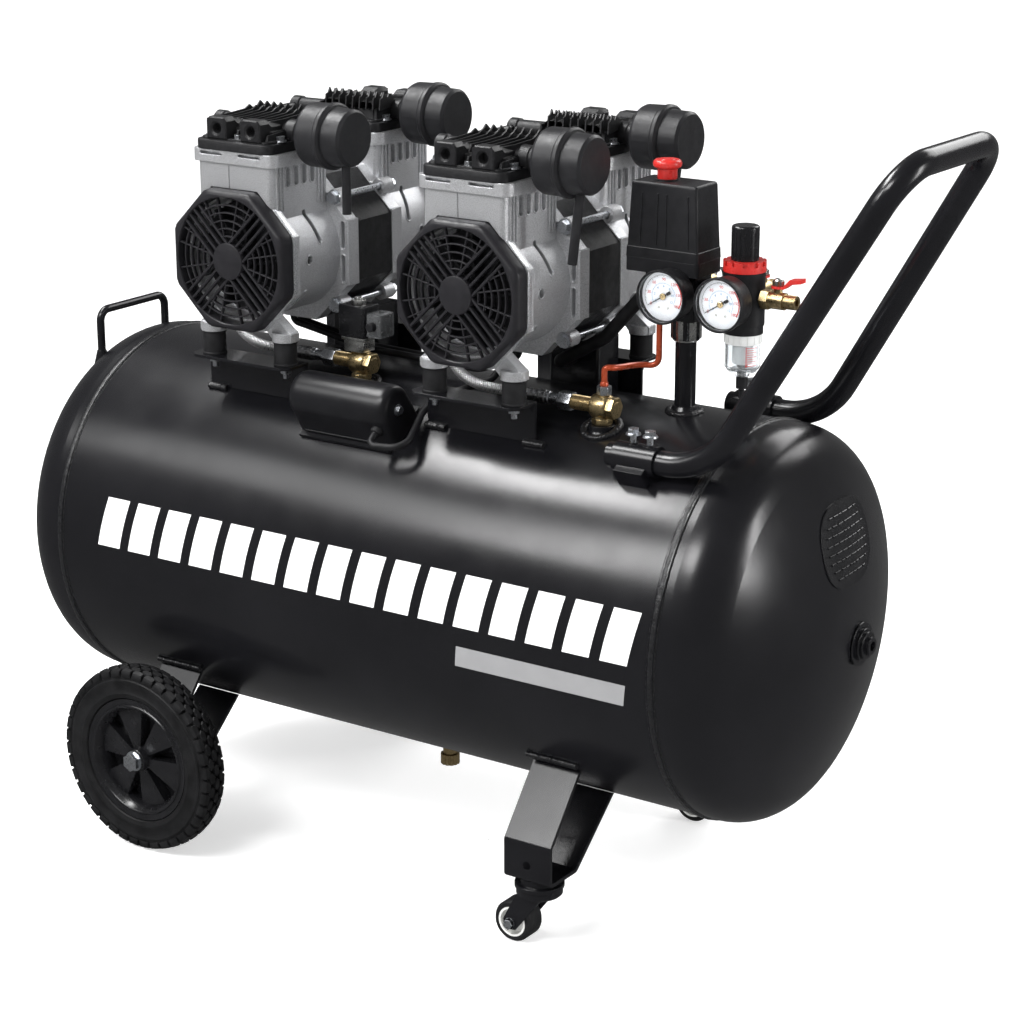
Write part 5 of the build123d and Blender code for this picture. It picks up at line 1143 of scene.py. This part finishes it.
# ------------------------------------------------------------------ capacitor covers
def capacitor_cover():
    lean = radians(34)
    out = Vector((0, -sin(lean), cos(lean)))
    side = Vector((0, -cos(lean), -sin(lean)))
    x0, x1 = TX - 0.088, TX + 0.030
    outline = []
    for k in range(25):
        a = radians(-8 + 196 * k / 24)
        outline.append((0.0235 * cos(a), 0.2225 + 0.0235 * sin(a)))
    outline = [(0.0245, 0.186)] + outline + [(-0.0245, 0.186)]
    b = Build()
    rows = []
    for dx, f in ((0, 0.72), (0.0004, 0.80), (0.0016, 0.89), (0.0038, 0.955), (0.0068, 0.988), (0.0105, 1.0)):
        rows.append((x0 + dx, f))
    rows += [(x1 - (x - x0), f) for x, f in reversed(rows)]
    grid = []
    for x, f in rows:
        grid.append([Vector((x, 0, TZ)) + side * (u * f)
                     + out * (0.214 + (v - 0.214) * (f if v > 0.214 else 1)) for u, v in outline])
    b.grid(grid, cap=True)
    # folded foot under the cover and its lip
    foot = ((x0 + 0.004, -0.030), (x1 - 0.004, -0.030), (x1 - 0.004, 0.030), (x0 + 0.004, 0.030))
    b.hexa(*([Vector((x, 0, TZ)) + side * u + out * v for x, u in foot] for v in (0.1915, 0.1945)))
    for u in (-0.0243, 0.0243):
        p = [Vector((x, 0, TZ)) + side * u + out * 0.1965 for x in (x0 + 0.010, x1 - 0.010)]
        b.sweep(p, circle(0.0011, 8), up=tuple(out))
    b.make("capacitor_cover", "satin", node="capacitor_covers", smooth=50)
    z = Build()
    c = Vector((x1, 0, TZ)) + out * 0.222
    z.lathe([(-0.001, 0.0), (-0.001, 0.0058), (0.0008, 0.0058), (0.0010, 0.0052), (0.0010, 0.0)], c,
            (1, 0, 0), 32)
    hexagon(z, c + Vector((0.0008, 0, 0)), (1, 0, 0), 0.0076, 0.0032)
    z.make("capacitor_cover_bolt", "zinc", smooth=35)
    g = Build()
    start = Vector((TX + 0.017, -0.1396, 0.4706))
    g.lathe([(-0.006, 0.0), (-0.006, 0.0062), (0.0025, 0.0062), (0.0045, 0.0050), (0.0050, 0.0)], start,
            (0, -0.83, -0.56), 24)
    g.make("capacitor_gland", "rubber", smooth=35)
    r = Build()
    for px in PUMPS:
        round_box(r, (px + 0.008 - 0.029, 0.047, 0.470), (px + 0.008 + 0.029, 0.087, 0.540), r=0.004,
                  ease=0.0015)
    r.make("rear_boxes", "paint", slot="capacitor_covers", smooth=35)


capacitor_cover()


# ------------------------------------------------------------------ small fittings
def fittings():
    n = Build()
    hexagon(n, (PIPE_X, 0, 0.5684), (0, 0, 1), 0.0254, 0.0195, ease=0.0012)
    n.lathe([(0.0, 0.0), (0.0, 0.0116), (0.0015, 0.0116), (0.0018, 0.0112), (0.0018, 0.0)],
            (PIPE_X, 0, 0.5664), (0, 0, 1), 40)
    n.make("standpipe_nut", "nickel", smooth=35)
    # cap nuts on the outlet valves' stems
    d = Build()
    zs = GAUGE_Z + 0.0141
    for sx, sy in ((REG_X + VALVE_AT + 0.0155, 0.0), (REG_X, VALVE_AT + 0.0155)):
        hexagon(d, (sx, sy, zs), (0, 0, 1), 0.0096, 0.0046, ease=0.0005)
        d.lathe([(0.0, 0.0), (0.0, 0.0042), (0.0012, 0.0038), (0.0021, 0.0026), (0.0025, 0.0)],
                (sx, sy, zs + 0.0046), (0, 0, 1), 28)
    d.make("valve_cap_nuts", "nickel", smooth=40)
    # threads on the outlets' ends
    t = Build()
    for ax, o in (((1, 0, 0), (REG_X + VALVE_AT + 0.0235, 0, GAUGE_Z)),
                  ((0, 1, 0), (REG_X, VALVE_AT + 0.0235, GAUGE_Z))):
        n_ = 18
        prof = [(0.0, 0.0064)] + [(0.0003 + 0.0102 * k / n_, 0.00672 - (0.0004 if k % 2 else 0.0))
                                  for k in range(n_ + 1)] + [(0.0110, 0.0064)]
        t.lathe(prof, o, ax, 40)
    t.make("outlet_threads", "brass", smooth=35)
    # clear bowl: white collar, element and red graduations
    c = Build()
    c.lathe([(0.0, 0.0138), (0.0, 0.0171), (0.0008, 0.0174), (0.0078, 0.0176), (0.0092, 0.0172),
             (0.0092, 0.0138), (0.0, 0.0138)],
            (REG_X, 0, 0.5726), (0, 0, 1), 64)
    for k in range(16):
        a = 2 * pi * k / 16
        x_, y_ = 0.0174 * cos(a), 0.0174 * sin(a)
        c.hexa(*([(REG_X + x_ * f + g * -sin(a) * 0.0006, y_ * f + g * cos(a) * 0.0006, z)
                  for f, g in ((0.99, -1), (1.03, -1), (1.03, 1), (0.99, 1))] for z in (0.5735, 0.5805)))
    c.make("bowl_collar_ring", "collar", smooth=40)
    e = Build()
    e.lathe([(0.0, 0.0), (0.0, 0.0088), (0.002, 0.0096), (0.016, 0.0096), (0.018, 0.0086), (0.020, 0.0055),
             (0.024, 0.0055), (0.024, 0.0)],
            (REG_X, 0, 0.553), (0, 0, 1), 40)
    e.make("filter_element", "collar", smooth=40)
    g = Build()

    def mark(z, a0, a1, h, r=0.01662):
        turns = [radians(a0 + (a1 - a0) * k / 8) for k in range(9)]
        g.grid([[Vector((REG_X + r * cos(a), r * sin(a), zz)) for a in turns]
                for zz in (z - h / 2, z + h / 2)],
               close_u=False)
    for k in range(9):
        mark(0.5535 + 0.0021 * k, -48, -22 if k % 2 else -10, 0.00045)
    for a in (-48, -50.5):
        mark(0.5620, a - 0.6, a + 0.6, 0.019)
    g.make("bowl_graduations", "ink_red", smooth=0)
    # zinc axle bolts of the casters, washers behind them
    for tag, sy in (("front", -1), ("rear", 1)):
        z = Build()
        hexagon(z, (CASTER_X - 0.024, sy * (0.170 + 0.0158), 0.0207), (0, sy, 0), 0.0088, 0.0042)
        z.lathe([(0.0, 0.0), (0.0, 0.0056), (0.0007, 0.0056), (0.0007, 0.0)],
                (CASTER_X - 0.024, sy * (0.170 + 0.0155), 0.0207), (0, sy, 0), 28)
        z.make("caster_bolt_" + tag, "zinc", body="swivel_" + tag, smooth=35)
    # end plug rings
    p = Build()
    px_, py_, pz_ = TX + 0.4502, 0.034, 0.290
    for d0, r0 in ((0.0035, 0.0212), (0.0070, 0.0157), (0.0100, 0.0132)):
        path = [Vector((px_ + d0 - 0.0009, py_ + u, pz_ + v)) for u, v in circle(r0 - 0.0006, 60)]
        p.sweep(path, circle(0.0010, 8), closed=True, up=(1, 0, 0))
    p.make("plug_rings", "gloss", smooth=50)


fittings()


# ------------------------------------------------------------------ plain graphics on the tank
def decal(pts, name, mat, lift=0.0003, cell=0.004):
    """Flat outline in (x, arc length down from mid height) wrapped on the front of the tank."""
    me = bpy.data.meshes.new(name)
    bm = bmesh.new()
    vs = [bm.verts.new((x, 0, z)) for x, z in pts]
    bm.faces.new(vs)
    bmesh.ops.triangulate(bm, faces=bm.faces)
    zs = [z for _, z in pts]
    cut = min(zs)
    while cut < max(zs):
        cut += cell
        bmesh.ops.bisect_plane(bm, geom=bm.verts[:] + bm.edges[:] + bm.faces[:], plane_co=(0, 0, cut),
                               plane_no=(0, 0, 1))
    for v in bm.verts:
        a = v.co.z / TR
        v.co = Vector((v.co.x, -(TR + lift) * cos(a), TZ + (TR + lift) * sin(a)))
    bmesh.ops.recalc_face_normals(bm, faces=bm.faces)
    bm.to_mesh(me)
    bm.free()
    return dress(name, me, mat, smooth=40)


def slanted(x0, x1, z0, z1, lean=0.010):
    """Four-sided band leaning to the right, between two heights on the tank's front."""
    return [(x0, z0), (x1, z0), (x1 + lean, z1), (x0 + lean, z1)]


# Plain marks in place of lettering: a run of equal leaning bars and a grey bar.
BAND_LOW, BAND_HIGH = 0.007, 0.058
for i in range(16):
    at_x = TX - 0.304 + 0.0405 * i
    decal(slanted(at_x, at_x + 0.029, BAND_LOW, BAND_HIGH), "tank_bar_%d" % i, "white")
decal(slanted(TX + 0.142, TX + 0.328, -0.033, -0.012, 0.003), "tank_grey_bar", "grey")


def crown(y, z, lift=0.0):
    """Point on the dished +X end."""
    big = 0.3859
    r2 = y * y + (z - TZ) ** 2
    x = TX + 0.452 - (big - sqrt(big * big - r2))
    nrm = Vector((sqrt(big * big - r2), y, z - TZ)).normalized()
    return Vector((x, y, z)) + nrm * lift


def rating_plate():
    """Blank oval plate with a raised rim and rows of short plain dashes."""
    cy, cz, a_, b_ = 0.020, 0.392, 0.050, 0.040
    n = 72

    def ring(f, lift):
        pts = []
        for k in range(n):
            t = 2 * pi * k / n
            u = (abs(cos(t)) ** 0.75) * (1 if cos(t) > 0 else -1)
            v = (abs(sin(t)) ** 0.75) * (1 if sin(t) > 0 else -1)
            pts.append(crown(cy + a_ * f * u, cz + b_ * f * v, lift))
        return pts
    b = Build()
    b.grid([ring(1.0, 0.0001), ring(1.0, 0.0011), ring(0.985, 0.0013), ring(0.965, 0.0011),
            ring(0.95, 0.0007), ring(0.6, 0.0007), ring(0.2, 0.0007)], cap=False)
    b.f.append(tuple(len(b.v) - n + k for k in range(n)))
    for i in range(8):
        z = cz + 0.028 - 0.008 * i
        half = a_ * 0.86 * sqrt(max(0.0, 1 - ((z - cz) / b_) ** 2)) * 0.92
        y = cy - half
        while y < cy + half - 0.002:
            step = random.uniform(0.0035, 0.011)
            y1 = min(y + step, cy + half)
            path = [crown(y + (y1 - y) * t / 3, z, 0.0009) for t in range(4)]
            b.sweep(path, [(0.0009, -0.0002), (0.0007, 0.0004), (-0.0007, 0.0004), (-0.0009, -0.0002)],
                    up=(1, 0, 0))
            y = y1 + random.uniform(0.0015, 0.0035)
    b.make("rating_plate", "gloss", smooth=40)


rating_plate()


# ------------------------------------------------------------------ stage, lights, camera
FLAT = 3.4               # radius of the floor's level part


def floor():
    """Round pale floor that rises into a backdrop on every side."""
    b = Build()
    rows = []
    for radius in (0.001, 1, 2, 3, 3.5, 4, 4.5, 5, 5.5, 6, 6.5, 7, 7.5, 8):
        rise = 0.0 if radius < FLAT else 0.3 * (radius - FLAT) ** 2
        rows.append([Vector((u, v, rise)) for u, v in circle(radius, 64)])
    b.grid(rows)
    me = bpy.data.meshes.new("floor")
    me.from_pydata([tuple(v) for v in b.v], [], b.f)
    ob = bpy.data.objects.new("floor", me)
    bpy.context.scene.collection.objects.link(ob)
    me.materials.append(M["floor"])
    me.shade_smooth()
    ob.visible_glossy = False


M["floor"] = material("studio_floor", (0.88, 0.88, 0.88), 0.75, vary=0.01, vary_scale=3, rough_vary=0.02)
glow = M["floor"].node_tree.nodes["Principled BSDF"]
glow.inputs["Emission Color"].default_value = (1, 1, 1, 1)
glow.inputs["Emission Strength"].default_value = 0.5
floor()


def area(name, loc, target, size, power, color=(1, 1, 1), size_y=None):
    li = bpy.data.lights.new(name, "AREA")
    li.energy = power
    li.color = color
    li.shape = "RECTANGLE"
    li.size = size
    li.size_y = size_y or size
    ob = bpy.data.objects.new(name, li)
    bpy.context.scene.collection.objects.link(ob)
    ob.location = loc
    d = Vector(target) - Vector(loc)
    ob.rotation_euler = d.to_track_quat("-Z", "Y").to_euler()
    return ob


area("over", (-1.05, -0.25, 2.25), (0.05, -0.05, 0.45), 1.3, 52, size_y=0.45)
area("soft", (-0.92, -1.75, 1.85), (0.3, -0.16, 0.4), 0.36, 17, size_y=0.9)
area("left", (-1.6, -1.6, 1.85), (-0.2, -0.16, 0.4), 1.0, 9, size_y=0.6)
area("strip", (2.3, 0.5, 0.95), (0.4, -0.05, 0.4), 0.3, 20, size_y=1.2)
area("front", (-0.2, -2.5, 2.9), (0, 0, 0.45), 1.2, 58, size_y=0.8)
area("rear", (0.6, 2.4, 2.2), (0, 0, 0.5), 2.2, 40, size_y=1.2)

world = bpy.data.worlds.new("world")
bpy.context.scene.world = world
world.use_nodes = True
bg = world.node_tree.nodes["Background"]
bg.inputs[0].default_value = (1, 1, 1, 1)
bg.inputs[1].default_value = 0.16

cam = bpy.data.cameras.new("camera")
cam.lens = 91.71
cam.sensor_width = 36
cam.clip_start = 0.05
cam.clip_end = 60
cam_ob = bpy.data.objects.new("camera", cam)
bpy.context.scene.collection.objects.link(cam_ob)
cam_ob.location = (1.42755, -2.0628, 1.1346)
cam_ob.rotation_euler = (radians(90 - 17.19), 0, radians(34.12))
bpy.context.scene.camera = cam_ob
bpy.context.scene.view_settings.view_transform = "Standard"
